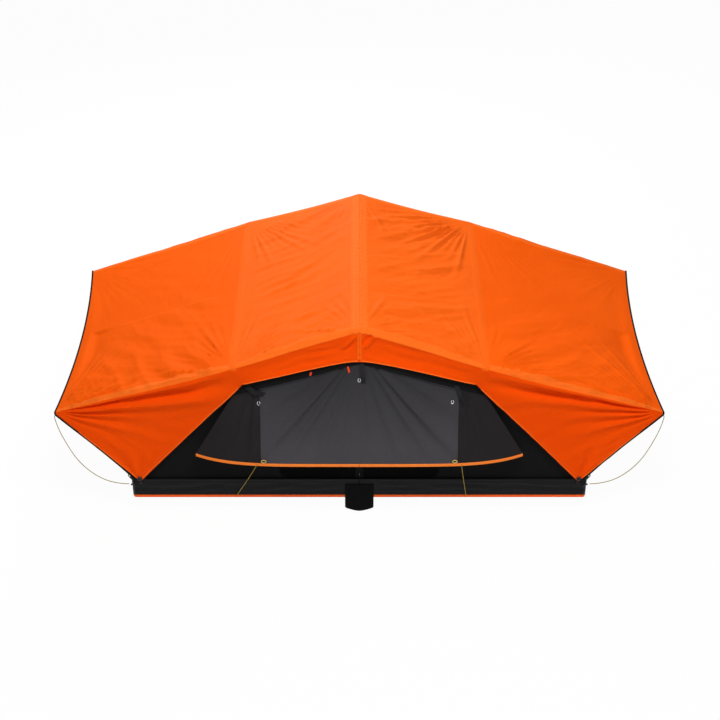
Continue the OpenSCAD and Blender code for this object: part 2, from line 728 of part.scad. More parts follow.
module flap_cords(foot) {
  a = hem_pt(eyelet_s, flap_t / 2 + 0.5 + 2 * lay + 5.4 + cord_d / 2, hem_z + hem_h / 2);
  b = [-foot, -half_w - lay - cord_d / 2, edge_h / 2];
  both_y() cord([for (i = [0:4]) a + (b - a) * i / 4 - [0, 0, 6 * sin(45 * i)]], cord_d);
}
module zip_pulls() {
  color("orangered") both_y() for (s = [0.14, 0.4])
    translate(flap_pt(s, 0.13, flap_t / 2 + 2.3)) rotate([-12, 0, 0])
      slab(-1, 2) round_rect(-4, -16, 4, 16, 3);
}

// Guy cords from the outer corners of the fly to hooks at the base corners
guy_route = [[-1556, -697, 545], [-1563, -697, 530], [-1561, -697, 505], [-1553, -698, 465],
  [-1541, -699, 421], [-1526, -700, 378], [-1505, -701, 324], [-1481, -702, 272], [-1452, -703, 226],
  [-1418, -704, 185], [-1378, -705, 149], [-1334, -706, 122], [-1288, -707, 106], [-1245, -708, 99],
  [-1215, -709, 98]];
guy_shift = [[tip_x - 1559, 0, tip_z - 556], [half_l - 1200, half_w - 700, 0]];
function guy_pt(i) = let (t = i / 14, d = guy_shift[0] * (1 - t) + guy_shift[1] * t,
    y = (half_w - 700)) guy_route[i] + [-d[0], -y, d[2]];
module guy_cords() {
  both_y() cord([for (i = [0:14]) guy_pt(i)], cord_d);
}
hook_z = 98;
module cord_hooks() {
  // Corner hook and the toggle that holds the wing
  both_y() {
    translate([-half_l + corner_r, -half_w + corner_r, hook_z]) rotate([0, 0, -135])
      translate([corner_r + lay, 0, 0]) {
        translate([0, -6, -14]) cube([3, 12, 24]);
        difference() {
          translate([3, -3, -12]) cube([11, 6, 8]);
          translate([6, -4, -8]) cube([4, 8, 6]);
        }
      }
    translate([-wing_x - 9, -half_w - 10, skirt_top - 24]) cube([18, 10 - lay, 24]);
    translate([-wing_x - 5, -half_w - 19, skirt_top - 9]) cube([10, 9, 5]);
  }
}
module fold_cover() {
  color("dimgray") both_y() slab(-half_w - lay - 2.5, 2.5)
    polygon([[-tab_x, tab_top], [tab_x, tab_top], [tab_x, -tab_low + 40], [tab_x - 30, -tab_low + 10],
      [tab_x - 50, -tab_low], [-tab_x + 50, -tab_low], [-tab_x + 30, -tab_low + 10],
      [-tab_x, -tab_low + 40]]);
}

place() color("tan") floor_panel_railed();  // floor_panel_fixed
place() folding() color("tan") floor_panel();  // floor_panel_folding
place() color("orange") edge_channel();  // edge_channel_fixed
place() folding() color("orange") edge_channel();  // edge_channel_folding
place() mounting_rails();
place() rail_rivets();
place() hinge_bracket(ear_fo, ear_fi);  // hinge_bracket_fixed
place() folding() hinge_bracket(ear_mo, ear_mi);  // hinge_bracket_folding
place() hinge_pins();
place() hinge_nuts();
place() hinge_spacers();
place() color("silver") bracket_screws();  // bracket_screws_fixed
place() folding() color("silver") bracket_screws();  // bracket_screws_folding
place() color("lightgray") mattress();  // mattress_fixed
place() folding() color("lightgray") mattress();  // mattress_folding
place() color("dimgray") skirt();  // skirt_fixed
place() folding() color("dimgray") skirt();  // skirt_folding
place() color("gray") rod_brackets();  // rod_brackets_fixed
place() folding() color("gray") rod_brackets();  // rod_brackets_folding
place() color("silver") rod_pins();  // rod_pins_fixed
place() folding() color("silver") rod_pins();  // rod_pins_folding
place() color("dimgray") tent_body();  // tent_body_fixed
place() folding() color("dimgray") tent_body();  // tent_body_folding
place() color("black") window_mesh();  // window_mesh_fixed
place() folding() color("black") window_mesh();  // window_mesh_folding
place() color("black") end_mesh();  // end_mesh_fixed
place() folding() color("black") end_mesh();  // end_mesh_folding
place() color("orange") fly_roof();  // fly_roof_fixed
place() folding() color("orange") fly_roof();  // fly_roof_folding
place() color("darkorange") fly_awning();  // fly_awning_fixed
place() folding() color("darkorange") fly_awning();  // fly_awning_folding
place() color("gray") window_flap();  // window_flap_fixed
place() folding() color("gray") window_flap();  // window_flap_folding
place() color("orange") flap_hem();  // flap_hem_fixed
place() folding() color("orange") flap_hem();  // flap_hem_folding
place() color("black") flap_straps([strap_outer]);  // flap_straps_fixed
place() folding() color("black") flap_straps(strap_pair);  // flap_straps_folding
place() color("silver") flap_hooks([strap_outer]);  // flap_hooks_fixed
place() folding() color("silver") flap_hooks(strap_pair);  // flap_hooks_folding
place() color("yellow") flap_cords(foot_fixed);  // flap_cords_fixed
place() folding() color("yellow") flap_cords(foot_moving);  // flap_cords_folding
place() color("gold") hem_eyelets();  // hem_eyelets_fixed
place() folding() color("gold") hem_eyelets();  // hem_eyelets_folding
place() color("black") cord_hooks();  // cord_hooks_fixed
place() folding() color("black") cord_hooks();  // cord_hooks_folding
place() fold_cover();
place() zip_pulls();
place() tilt(a_s - 90) bow_tube(r_s, lane_f);  // side_bow_fixed
place() color("gray") tilt(a_s - 90) bow_lugs(lane_f);  // side_bow_fixed_lugs
place() tilt(0) bow_tube(r_c, lane_c);  // middle_bow
place() color("gray") tilt(0) bow_lugs(lane_c);  // middle_bow_lugs
place() tilt(90 - a_s) bow_tube(r_s, lane_m);  // side_bow_folding
place() color("gray") tilt(90 - a_s) bow_lugs(lane_m);  // side_bow_folding_lugs
place() color("silver") awning_rods();  // awning_rods_fixed
place() folding() color("silver") awning_rods();  // awning_rods_folding
place() color("black") rod_caps();  // rod_caps_fixed
place() folding() color("black") rod_caps();  // rod_caps_folding
place() color("yellow") guy_cords();  // guy_cords_fixed
place() folding() color("yellow") guy_cords();  // guy_cords_folding
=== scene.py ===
import json
import math
import bpy
import numpy as np
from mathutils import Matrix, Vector


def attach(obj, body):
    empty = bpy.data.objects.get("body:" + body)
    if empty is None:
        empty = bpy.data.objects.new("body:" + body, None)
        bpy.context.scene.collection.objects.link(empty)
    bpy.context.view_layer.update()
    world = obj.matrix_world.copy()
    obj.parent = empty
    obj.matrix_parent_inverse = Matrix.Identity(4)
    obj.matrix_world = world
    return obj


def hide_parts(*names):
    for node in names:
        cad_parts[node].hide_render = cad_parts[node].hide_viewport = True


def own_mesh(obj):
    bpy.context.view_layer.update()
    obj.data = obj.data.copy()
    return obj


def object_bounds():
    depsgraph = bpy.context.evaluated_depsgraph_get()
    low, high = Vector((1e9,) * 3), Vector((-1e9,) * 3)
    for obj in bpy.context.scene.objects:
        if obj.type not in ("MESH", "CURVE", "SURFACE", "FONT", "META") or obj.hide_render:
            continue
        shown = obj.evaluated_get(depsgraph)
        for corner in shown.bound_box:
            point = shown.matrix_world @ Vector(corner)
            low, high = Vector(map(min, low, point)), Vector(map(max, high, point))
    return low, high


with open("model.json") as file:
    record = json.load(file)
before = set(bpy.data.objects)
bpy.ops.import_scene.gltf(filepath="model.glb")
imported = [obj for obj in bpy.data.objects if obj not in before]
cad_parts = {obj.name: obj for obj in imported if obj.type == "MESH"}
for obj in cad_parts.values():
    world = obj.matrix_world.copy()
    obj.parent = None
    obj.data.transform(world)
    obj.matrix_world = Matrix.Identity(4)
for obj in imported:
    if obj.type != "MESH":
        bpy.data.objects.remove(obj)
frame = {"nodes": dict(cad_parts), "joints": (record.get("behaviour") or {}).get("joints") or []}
cad_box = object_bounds()

# Where the tent stands: the fold line runs across the middle of the opened base.
# Shapes are drawn in millimetres from the fold line and the underside of the base,
# with the fixed half at negative X, and at_fold puts them into the part's frame in metres.
fold = next(j for j in frame["joints"] if j["name"] == "fold_hinge")
pivot_height = 140.0
fold_x = fold["pos_m"][0]
base_z = fold["pos_m"][2] - pivot_height / 1000
half_length, half_width = 1200.0, 700.0
halves = ((-1, "fixed"), (1, "folding"))


def at_fold(p):
    return np.asarray(p, float) / 1000 + (fold_x, 0, base_z)


# Camera: in front of the long side and above the ridge, looking down on the opened tent.
# Its height, distance and lens come from the angles of the base and of the bows.
scene = bpy.context.scene
camera_data = bpy.data.cameras.new("photo_camera")
camera = bpy.data.objects.new("photo_camera", camera_data)
scene.collection.objects.link(camera)
picture_width, focal_pixels, centre_pixel = 720, 1572, 359.3
camera_data.sensor_width = 36
camera_data.lens = camera_data.sensor_width * focal_pixels / picture_width
camera_data.shift_x = (picture_width / 2 - centre_pixel) / picture_width
camera_data.clip_end = 100
look_down = math.radians(34.6)
camera_distance = 8.71
look_at = Vector(at_fold([0, 0, 403]))
camera.location = look_at + camera_distance * Vector((0, -math.cos(look_down), math.sin(look_down)))
camera.rotation_euler = (math.pi / 2 - look_down, 0, 0)
scene.camera = camera

# Studio: a pale floor under the base, and soft boxes above, in front and behind.
# The ground shows white to the camera, and the floor keeps a faint shadow of the tent.
scene.view_settings.view_transform = "Standard"


def add_node(tree, kind, inputs=(), **options):
    """Adds a node with its options, and links or sets its inputs."""
    added = tree.nodes.new(kind)
    for option, value in options.items():
        setattr(added, option, value)
    for label, value in dict(inputs).items():
        if isinstance(value, bpy.types.NodeSocket):
            tree.links.new(value, added.inputs[label])
        else:
            added.inputs[label].default_value = value
    return added


def calc(tree, kind, *values):
    return add_node(tree, "ShaderNodeMath", enumerate(values), operation=kind).outputs[0]


def shown_white(tree, shader, white, share):
    """Mixes shader with a white one that camera, glossy and transmitted rays see by that share."""
    rays = add_node(tree, "ShaderNodeLightPath").outputs
    direct = calc(tree, "MAXIMUM", rays["Is Camera Ray"], rays["Is Glossy Ray"])
    seen = calc(tree, "MAXIMUM", direct, rays["Is Transmission Ray"])
    part = calc(tree, "MULTIPLY", seen, share)
    return add_node(tree, "ShaderNodeMixShader", {0: part, 1: shader, 2: white}).outputs[0]


world = bpy.data.worlds.new("studio_world")
scene.world = world
world.use_nodes = True
sky = world.node_tree
sky.nodes.clear()
fill_light = add_node(sky, "ShaderNodeBackground", {"Color": (1, 1, 1, 1), "Strength": 0.36})
white_ground = add_node(sky, "ShaderNodeBackground", {"Color": (1, 1, 1, 1)})
sky_shown = shown_white(sky, fill_light.outputs[0], white_ground.outputs[0], 1.0)
add_node(sky, "ShaderNodeOutputWorld", {"Surface": sky_shown})

floor_mesh = bpy.data.meshes.new("studio_floor")
floor_drop = float(cad_box[0][2]) - 0.004
floor_mesh.from_pydata([(x, y, floor_drop) for x, y in ((-12, -9), (13, -9), (13, 16), (-12, 16))],
                       [], [(0, 1, 2, 3)])
studio_floor = bpy.data.objects.new("studio_floor", floor_mesh)
scene.collection.objects.link(studio_floor)
floor_paint = bpy.data.materials.new("studio_floor")
floor_paint.use_nodes = True
floor_tree = floor_paint.node_tree
floor_bsdf = floor_tree.nodes["Principled BSDF"]
floor_bsdf.inputs["Base Color"].default_value = (0.92, 0.92, 0.92, 1)
floor_bsdf.inputs["Roughness"].default_value = 0.9
floor_glow = add_node(floor_tree, "ShaderNodeEmission")
floor_shown = shown_white(floor_tree, floor_bsdf.outputs[0], floor_glow.outputs[0], 0.965)
floor_tree.links.new(floor_shown, floor_tree.nodes["Material Output"].inputs["Surface"])
floor_mesh.materials.append(floor_paint)


def soft_box(name, place, size, power):
    lamp = bpy.data.lights.new(name, "AREA")
    lamp.shape = "RECTANGLE"
    lamp.size, lamp.size_y = size
    lamp.energy = power
    stand = bpy.data.objects.new(name, lamp)
    scene.collection.objects.link(stand)
    stand.location = place
    stand.rotation_euler = (look_at - Vector(place)).to_track_quat("-Z", "Y").to_euler()


soft_box("key_above", (fold_x + 0.5, -2.6, 4.9), (1.4, 0.9), 150)
soft_box("fill_front", (fold_x + 0.2, -6.0, 2.6), (4.0, 2.5), 40)
soft_box("graze_back", (fold_x - 0.9, 3.9, 2.9), (0.9, 0.7), 165)

# Mounting rails: two hat-section aluminium extrusions with long slots, riveted under the fixed floor.
# Their finish is mill aluminium, brushed along the rail.


def node_group(name, kind, ins, outs):
    """A tree of shader or geometry nodes, with the name, kind and first value of what goes in and out."""
    group = bpy.data.node_groups.new(name, kind + "NodeTree")
    for way, sockets in (("INPUT", ins), ("OUTPUT", outs)):
        for label, holds, *first in sockets:
            socket = group.interface.new_socket(label, in_out=way, socket_type="NodeSocket" + holds)
            if first:
                socket.default_value = first[0]
    return group, group.nodes.new("NodeGroupInput").outputs, group.nodes.new("NodeGroupOutput").inputs


# Slow changes of tone, as on handled or sun-faded surfaces
mottle_inputs = [("Vector", "Vector"), ("Scale", "Float", 3.0), ("Sharp", "Float", 1.6)]
mottle_group, given, made = node_group("slow_mottle", "Shader", mottle_inputs, [("Tone", "Float")])
clouds = add_node(mottle_group, "ShaderNodeTexNoise",
                  {"Vector": given["Vector"], "Scale": given["Scale"], "Detail": 5})
centred = calc(mottle_group, "SUBTRACT", clouds.outputs["Fac"], 0.5)
spread_out = calc(mottle_group, "MULTIPLY_ADD", centred, given["Sharp"], 0.5)
spread_out.node.use_clamp = True
mottle_group.links.new(spread_out, made["Tone"])


def use_group(tree, group, vector, **values):
    return add_node(tree, "ShaderNodeGroup", {"Vector": vector, **values}, node_tree=group).outputs


def new_material(name):
    mat = bpy.data.materials.new(name)
    mat.use_nodes = True
    tree = mat.node_tree
    return mat, tree, tree.nodes["Principled BSDF"].inputs, add_node(tree, "ShaderNodeTexCoord").outputs


def surface(tree, bsdf, tone, dark, light, rough, height, relief, shine):
    """Colour and roughness that change together with one tone, and a fine relief."""
    colour = {0: tone, 6: (*dark, 1), 7: (*light, 1)}
    two_tone = add_node(tree, "ShaderNodeMix", colour, data_type="RGBA")
    spread = {"Value": tone, "To Min": rough[0], "To Max": rough[1]}
    worn = add_node(tree, "ShaderNodeMapRange", spread)
    bump = add_node(tree, "ShaderNodeBump", {"Distance": relief, "Height": height})
    tree.links.new(two_tone.outputs[2], bsdf["Base Color"])
    tree.links.new(worn.outputs[0], bsdf["Roughness"])
    tree.links.new(bump.outputs[0], bsdf["Normal"])
    bsdf["Specular IOR Level"].default_value = shine


def hard_finish(name, dark, light, rough, metallic=0.0, grain=(1, 1, 1), grain_scale=60, relief=0.0001):
    """Metal, paint or moulded plastic: mottled tone, with grain stretched along the way it was worked."""
    mat, tree, bsdf, coords = new_material(name)
    stretch = add_node(tree, "ShaderNodeMapping", {"Scale": grain, "Vector": coords["Object"]})
    fine = use_group(tree, mottle_group, stretch.outputs[0], Scale=grain_scale, Sharp=1.2)["Tone"]
    slow = use_group(tree, mottle_group, coords["Object"], Scale=5, Sharp=1.8)["Tone"]
    tone = calc(tree, "MULTIPLY_ADD", fine, 0.5, calc(tree, "MULTIPLY", slow, 0.5))
    shine = 0.5 if metallic else 0.15
    surface(tree, bsdf, tone, dark, light, (rough - 0.08, rough + 0.1), fine, relief, shine)
    bsdf["Metallic"].default_value = metallic
    return mat


def dress(material, *nodes):
    for n in nodes:
        mesh = frame["nodes"][n].data
        mesh.materials.clear()
        mesh.materials.append(material)


along_rail = (1, 14, 14)
rail_aluminium = hard_finish("rail_aluminium", (0.50, 0.51, 0.52), (0.68, 0.69, 0.70), 0.36, 1.0, along_rail)
zinc_steel = hard_finish("zinc_steel", (0.48, 0.48, 0.47), (0.66, 0.66, 0.65), 0.32, 1.0, grain_scale=140)
dress(rail_aluminium, "mounting_rails")
dress(zinc_steel, "rail_rivets")

# Base: two floor panels of coated board, each held in an orange painted aluminium edge channel.
# The channel is folded round the corners and open along the fold, so the panels meet there.
floor_board = hard_finish("floor_board", (0.075, 0.075, 0.078), (0.11, 0.11, 0.115), 0.55, grain_scale=220)
edge_orange = hard_finish("edge_orange", (0.80, 0.085, 0.004), (0.95, 0.13, 0.008), 0.5, grain_scale=40)
dress(floor_board, "floor_panel_fixed", "floor_panel_folding")
dress(edge_orange, "edge_channel_fixed", "edge_channel_folding")

# Fold hinge: bent steel brackets screwed to the floors, with a pin at each side of the tent.
# The pins also carry the three bows, set apart by nylon spacers, and are held by nuts.
bracket_black = hard_finish("bracket_black", (0.018, 0.018, 0.019), (0.04, 0.04, 0.042), 0.45,
                            grain_scale=300)
spacer_nylon = hard_finish("spacer_nylon", (0.55, 0.54, 0.50), (0.68, 0.67, 0.63), 0.5, grain_scale=90)
dress(bracket_black, "hinge_bracket_fixed", "hinge_bracket_folding")
dress(zinc_steel, "hinge_pins", "hinge_nuts", "bracket_screws_fixed", "bracket_screws_folding")
dress(spacer_nylon, "hinge_spacers")

# Bows: three hoops of bent aluminium tube, plugged onto moulded lugs that turn on the hinge pins.
# The tube is drawn and anodised, with faint lines along it.
bow_aluminium = hard_finish("bow_aluminium", (0.46, 0.47, 0.48), (0.62, 0.63, 0.64), 0.3, 1.0, (9, 1, 9), 30)
lug_plastic = hard_finish("lug_plastic", (0.015, 0.015, 0.016), (0.035, 0.035, 0.037), 0.48, grain_scale=260)
dress(bow_aluminium, "side_bow_fixed", "middle_bow", "side_bow_folding")
dress(lug_plastic, "side_bow_fixed_lugs", "middle_bow_lugs", "side_bow_folding_lugs")

# Awning rods: black-coated spring-steel rods with eyes, pinned in forks on the base ends, with rubber
# end caps. They hold the outer corners of the fly out, and swing in when the tent is folded.


def grey(tone):
    return (tone, tone, tone)


rod_steel = hard_finish("rod_steel", grey(0.006), grey(0.016), 0.4, grain_scale=110)
cap_rubber = hard_finish("cap_rubber", grey(0.012), grey(0.03), 0.7, grain_scale=180)
for _, half in halves:
    dress(rod_steel, "awning_rods_" + half)
    dress(zinc_steel, "rod_pins_" + half)
    dress(bracket_black, "rod_brackets_" + half)
    dress(cap_rubber, "rod_caps_" + half)
    dress(lug_plastic, "cord_hooks_" + half)

# Mattress: a foam slab in each half under a grey quilted cover, notched round the hinge brackets.
# It stays in place when the tent is folded.


def waves(p, q, wave, reach, seed, parts, bending, drift):
    """Random waves that run along q and follow each other along p: turns, bend, swell and start."""
    rng = np.random.RandomState(seed)
    for _ in range(parts):
        w = wave * (0.6 + 0.9 * rng.rand())
        bend = bending * np.sin(2 * np.pi * q / (reach * (0.7 + 0.6 * rng.rand())) + 6.3 * rng.rand())
        swell = np.sin(2 * np.pi * (q / reach + drift * p / wave * rng.rand()) + 6.3 * rng.rand())
        yield np.pi * p / w, bend, swell, rng.rand()


def drawn_folds(p, q, wave, reach, seed, parts=5):
    """Loose folds from -1 to 1 that run along q and follow each other along p."""
    made = waves(p, q, wave, reach, seed, parts, 0.9, 0.35)
    return sum(np.sin(2 * t + bend + 6.3 * start) * (0.6 + 0.4 * swell)
               for t, bend, swell, start in made) / parts


def creases(p, q, wave, reach, seed, parts=4):
    """Sharp creases with slack cloth between them, that run along q and follow each other along p."""
    made = waves(p, q, wave, reach, seed, parts, 1.6, 0.3)
    return sum((1 - np.abs(np.sin(t + bend + 3.1 * start)) ** 0.55) * np.clip(swell, 0, 1)
               for t, bend, swell, start in made) / parts ** 0.5


def bell(x, centre, width):
    return np.exp(-((x - centre) / width) ** 2)


def bells(x, *parts):
    """Rises and valleys beside each other, each with its height, centre and width."""
    return sum(height * bell(x, centre, width) for height, centre, width in parts)


def ease(x, a, b):
    t = np.clip((x - a) / (b - a), 0, 1)
    return t * t * (3 - 2 * t)


def cross_grid(a, b):
    return np.meshgrid(a, b, indexing="ij")


def columns(*parts):
    """Points from their coordinates, each a number or an array."""
    return np.stack(np.broadcast_arrays(*parts), axis=-1)


def run_along(line):
    """How far along a line each of its points lies."""
    return np.concatenate([[0], np.cumsum(np.linalg.norm(np.diff(line, axis=0), axis=1))])


tent_middle = (0, 0, 300)


def grid_normals(p, away_from=tent_middle):
    n = np.cross(np.gradient(p, axis=0), np.gradient(p, axis=1))
    n = n / np.maximum(np.linalg.norm(n, axis=2, keepdims=True), 1e-9)
    turned = np.mean(np.sum(n * (p - np.array(away_from)), axis=2)) < 0
    return (-n if turned else n), turned


def sewn_cloth(name, p, thick, materials, face_material=None, keep_face=None, inside=tent_middle,
               lower=None):
    """A closed sheet of cloth on a grid of points, or a filled pad between that grid and a lower one."""
    n, turned = grid_normals(p, inside)
    rows, cols = p.shape[:2]
    count = rows * cols
    upper = p + n * thick / 2
    under = p - n * thick / 2 if lower is None else lower
    points = np.concatenate([upper.reshape(-1, 3), under.reshape(-1, 3)])
    index = np.arange(count).reshape(rows, cols)
    quad = columns(index[:-1, :-1], index[1:, :-1], index[1:, 1:], index[:-1, 1:])
    here = np.ones((rows - 1, cols - 1), bool) if keep_face is None else keep_face
    mark = np.zeros((rows - 1, cols - 1), int) if face_material is None else face_material
    faces = quad[here].tolist() + (quad[here][:, ::-1] + count).tolist()
    marks = mark[here].tolist() * 2
    ringed = np.pad(here, 1)
    for di, dj, a, b in ((-1, 0, (0, 1), (0, 0)), (1, 0, (1, 0), (1, 1)),
                         (0, -1, (0, 0), (1, 0)), (0, 1, (1, 1), (0, 1))):
        rim = here & ~ringed[1 + di:rows + di, 1 + dj:cols + dj]
        for i, j in np.argwhere(rim):
            va, vb = index[i + a[0], j + a[1]], index[i + b[0], j + b[1]]
            faces.append([va, vb, vb + count, va + count][::-1])
            marks.append(mark[i, j])
    faces = np.array(faces)
    if turned:
        faces = faces[:, ::-1]
    used = np.zeros(2 * count, bool)
    used[np.unique(faces)] = True
    number = np.cumsum(used) - 1
    mesh = bpy.data.meshes.new(name)
    mesh.from_pydata(at_fold(points[used]).tolist(), [], number[faces].tolist())
    unrolled = cross_grid(run_along(p.mean(axis=1)), run_along(p[rows // 2]))
    flat = columns(*unrolled).reshape(-1, 2) / 1000
    flat = np.concatenate([flat, flat])[used]
    uv = mesh.uv_layers.new(name="cloth_uv")
    corners = np.empty(len(mesh.loops), int)
    mesh.loops.foreach_get("vertex_index", corners)
    uv.data.foreach_set("uv", flat[corners].ravel())
    mesh.polygons.foreach_set("use_smooth", np.ones(len(faces), bool))
    mesh.polygons.foreach_set("material_index", np.array(marks, np.int32))
    for m in materials:
        mesh.materials.append(m)
    mesh.update()
    mesh.set_sharp_from_angle(angle=math.radians(60))
    piece = bpy.data.objects.new(name, mesh)
    scene.collection.objects.link(piece)
    return piece


def stand_for(piece, node):
    """Hides that solid; the piece shows in its place."""
    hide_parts(node)


def cut_area(p, keep_face=None):
    """Area of a grid in square metres."""
    a = np.linalg.norm(np.cross(p[1:, 1:] - p[:-1, :-1], p[1:, :-1] - p[:-1, 1:]), axis=2) / 2e6
    return float(a.sum() if keep_face is None else a[keep_face].sum())


# Crossing threads with slubs, shared by every cloth
weave_inputs = [("Vector", "Vector"), ("Threads", "Float", 900.0), ("Slub", "Float", 0.4)]
weave_outputs = [("Height", "Float"), ("Tone", "Float")]
weave_group, given, made = node_group("cloth_weave", "Shader", weave_inputs, weave_outputs)
split = add_node(weave_group, "ShaderNodeSeparateXYZ", {0: given["Vector"]}).outputs
turns = [calc(weave_group, "MULTIPLY", split[k], given["Threads"]) for k in (0, 1)]
crossing = calc(weave_group, "MULTIPLY", *(calc(weave_group, "SINE", turn) for turn in turns))
slub_noise = {"Vector": given["Vector"], "Scale": 60, "Detail": 3}
slub = add_node(weave_group, "ShaderNodeTexNoise", slub_noise).outputs["Fac"]
slubbed = calc(weave_group, "MULTIPLY", slub, given["Slub"])
weave_group.links.new(calc(weave_group, "MULTIPLY_ADD", crossing, 0.5, slubbed), made["Height"])
weave_group.links.new(calc(weave_group, "MULTIPLY_ADD", crossing, 0.25, slub), made["Tone"])


def cloth_finish(name, dark, light, rough, threads_per_m=700, relief=0.0002, crinkle=0.0, shine=0.06):
    """Woven or coated cloth: threads, slow mottle, and small crinkles where it was packed away."""
    mat, tree, bsdf, coords = new_material(name)
    weave = use_group(tree, weave_group, coords["UV"], Threads=threads_per_m * 2 * math.pi, Slub=0.5)
    slow = use_group(tree, mottle_group, coords["Object"], Scale=2.5, Sharp=1.5)["Tone"]
    tone = calc(tree, "MULTIPLY_ADD", weave["Tone"], 0.35, calc(tree, "MULTIPLY", slow, 0.65))
    height = weave["Height"]
    if crinkle:
        way = {"Scale": (1.0, 0.35, 0.8), "Vector": coords["Object"]}
        stretch = add_node(tree, "ShaderNodeMapping", way)
        packed_noise = {"Vector": stretch.outputs[0], "Scale": 26, "Detail": 4, "Distortion": 0.6}
        packed = add_node(tree, "ShaderNodeTexNoise", packed_noise).outputs["Fac"]
        height = calc(tree, "MULTIPLY_ADD", packed, crinkle, height)
    surface(tree, bsdf, tone, dark, light, (rough - 0.08, rough + 0.08), height, relief, shine)
    return mat


mattress_cloth = cloth_finish("mattress_cloth", (0.12, 0.125, 0.135), (0.19, 0.195, 0.21), 0.85, 500, 0.0005)
floor_top, mattress_top = 14.0, 74.0
mattress_x0, mattress_x1, mattress_y = 6.0, 1142.0, 642.0
notch_length, notch_y = 132.0, 566.0
rim_round, rim_drop, quilt_pitch, quilt_depth = 30, 22, 160, 2.5
for side, half in halves:
    x, y = cross_grid(np.linspace(mattress_x0, mattress_x1, 90), np.linspace(-mattress_y, mattress_y, 100))
    in_notch = (x < notch_length) & (np.abs(y) > notch_y)
    from_notch = np.maximum(x - notch_length, notch_y - np.abs(y))
    from_rim = np.minimum.reduce([x - mattress_x0, mattress_x1 - x, mattress_y - np.abs(y), from_notch])
    crown = 1 - (1 - np.clip(from_rim, 0, rim_round) / rim_round) ** 2
    diamonds = np.sin(np.pi * (x + y) / quilt_pitch) * np.sin(np.pi * (x - y) / quilt_pitch)
    quilt = quilt_depth * (1 - np.abs(diamonds) ** 0.35)
    top = columns(side * x, y, mattress_top - rim_drop * (1 - crown) - quilt * crown)
    bottom = columns(side * x, y, floor_top + 0.3)
    cells = ~(in_notch[:-1, :-1] | in_notch[1:, 1:])
    pad = sewn_cloth("mattress_%s_cover" % half, top, 0, [mattress_cloth], keep_face=cells,
                     inside=(side * 600, 0, 0), lower=bottom)
    stand_for(pad, "mattress_" + half)
    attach(pad, half + "_half")

# Skirt: a wall of black coated fabric round three sides of each half, set in the edge channel.
# Its upper edge is turned over a cord and sewn, and it bows a little between the corners.
skirt_black = cloth_finish("skirt_black", (0.002, 0.002, 0.003), (0.006, 0.006, 0.007), 0.38, 400, 0.0003,
                           crinkle=3.0, shine=0.10)
skirt_foot, skirt_top, corner_radius = 16.0, 123.0, 16.0
coated_thick, cut_height = 2.0, 0.108


def skirt_plan(side, count=260):
    """Points and outward directions round the three outer sides of one half."""
    cx, cy = half_length - corner_radius, half_width - corner_radius
    turn = np.linspace(0, np.pi / 2, 10)[1:-1]
    front = columns(np.linspace(2.2, cx, count), -half_width, 0, -1)
    near = columns(cx + corner_radius * np.sin(turn), -cy - corner_radius * np.cos(turn),
                   np.sin(turn), -np.cos(turn))
    far = columns(half_length, np.linspace(-cy, cy, count), 1, 0)
    at_back = (1, -1, 1, -1)
    walk = np.concatenate([front, near, far, near[::-1] * at_back, front[::-1] * at_back])
    return walk * (side, 1, side, 1)


for side, half in halves:
    walk = skirt_plan(side)
    height = np.concatenate([np.linspace(0, 0.80, 14), np.linspace(0.83, 1.0, 14)])
    run = run_along(walk[:, :2])
    s, v = cross_grid(run, height)
    clear_of_cover = ease(np.abs(walk[:, 0]), 85, 140)[:, None]
    bow_in = -(1.6 + 1.2 * drawn_folds(s, v * 60, 260, 90, 3 + side)) * np.sin(np.pi * v) ** 0.8
    roll = 1.4 * bell(v, 0.925, 0.035) - 1.0 * bell(v, 0.86, 0.02)
    loose = 7 * drawn_folds(v * 107 + 0.05 * s, s, 55, 380, 40 + side) * np.sin(np.pi * v) ** 1.5
    out = -1.2 + (bow_in + roll + loose) * clear_of_cover
    p = columns(walk[:, 0, None] + walk[:, 2, None] * out, walk[:, 1, None] + walk[:, 3, None] * out,
                skirt_foot + 0.2 + (skirt_top - skirt_foot - 0.2) * v)
    skirt = sewn_cloth("skirt_%s_wall" % half, p, coated_thick, [skirt_black], inside=(side * 600, 0, 70))
    stand_for(skirt, "skirt_" + half)
    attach(skirt, half + "_half")

# Tent body: dark poly-cotton walls laid over the bows and fixed inside the skirt, open at the fold.
# The front and back have a window beside the fold seam, and the end wall has a wide opening, all with
# insect mesh in a bound edge.
body_black = cloth_finish("body_black", grey(0.004), grey(0.009), 0.8, 520, 0.0004, 2.0, 0.05)
mesh_black = cloth_finish("mesh_black", grey(0.002), grey(0.005), 0.9, 300, 0.0008, shine=0.02)
tape_black = cloth_finish("tape_black", grey(0.003), grey(0.008), 0.75, 900, 0.0003, shine=0.04)
cloth_thick, net_thick = 1.2, 0.6
body_y, body_end, body_foot = 689.2, 1190.0, 16.6
body_ridge, roof_slope = 1068.6, 0.32959
end_lean = math.radians(56.44)
end_slope = math.tan(end_lean)
body_corner = (body_ridge - body_foot - body_end * end_slope) / (roof_slope - end_slope)


def body_top(x):
    """Upper edge of the front wall, hanging under the fly's soft front edge."""
    under_fly = 45 * ease(body_corner - x, 0, 60)
    return np.minimum(body_ridge - roof_slope * x - under_fly, body_foot + (body_end - x) * end_slope)


def in_window(x, z):
    """Window beside the fold seam: rounded below, cut along the bow above."""
    x0, x1, z0, z1, r = 14.0, 430.0, 112.0, 690.0, 85.0
    inside = (x > x0) & (x < x1) & (z > z0) & (z < z1)
    rounded = (x > x1 - r) & (z < z0 + r) & (np.hypot(x - x1 + r, z - z0 - r) > r)
    cut = (x1 - x) + (z1 - z) < 119
    return inside & ~rounded & ~cut


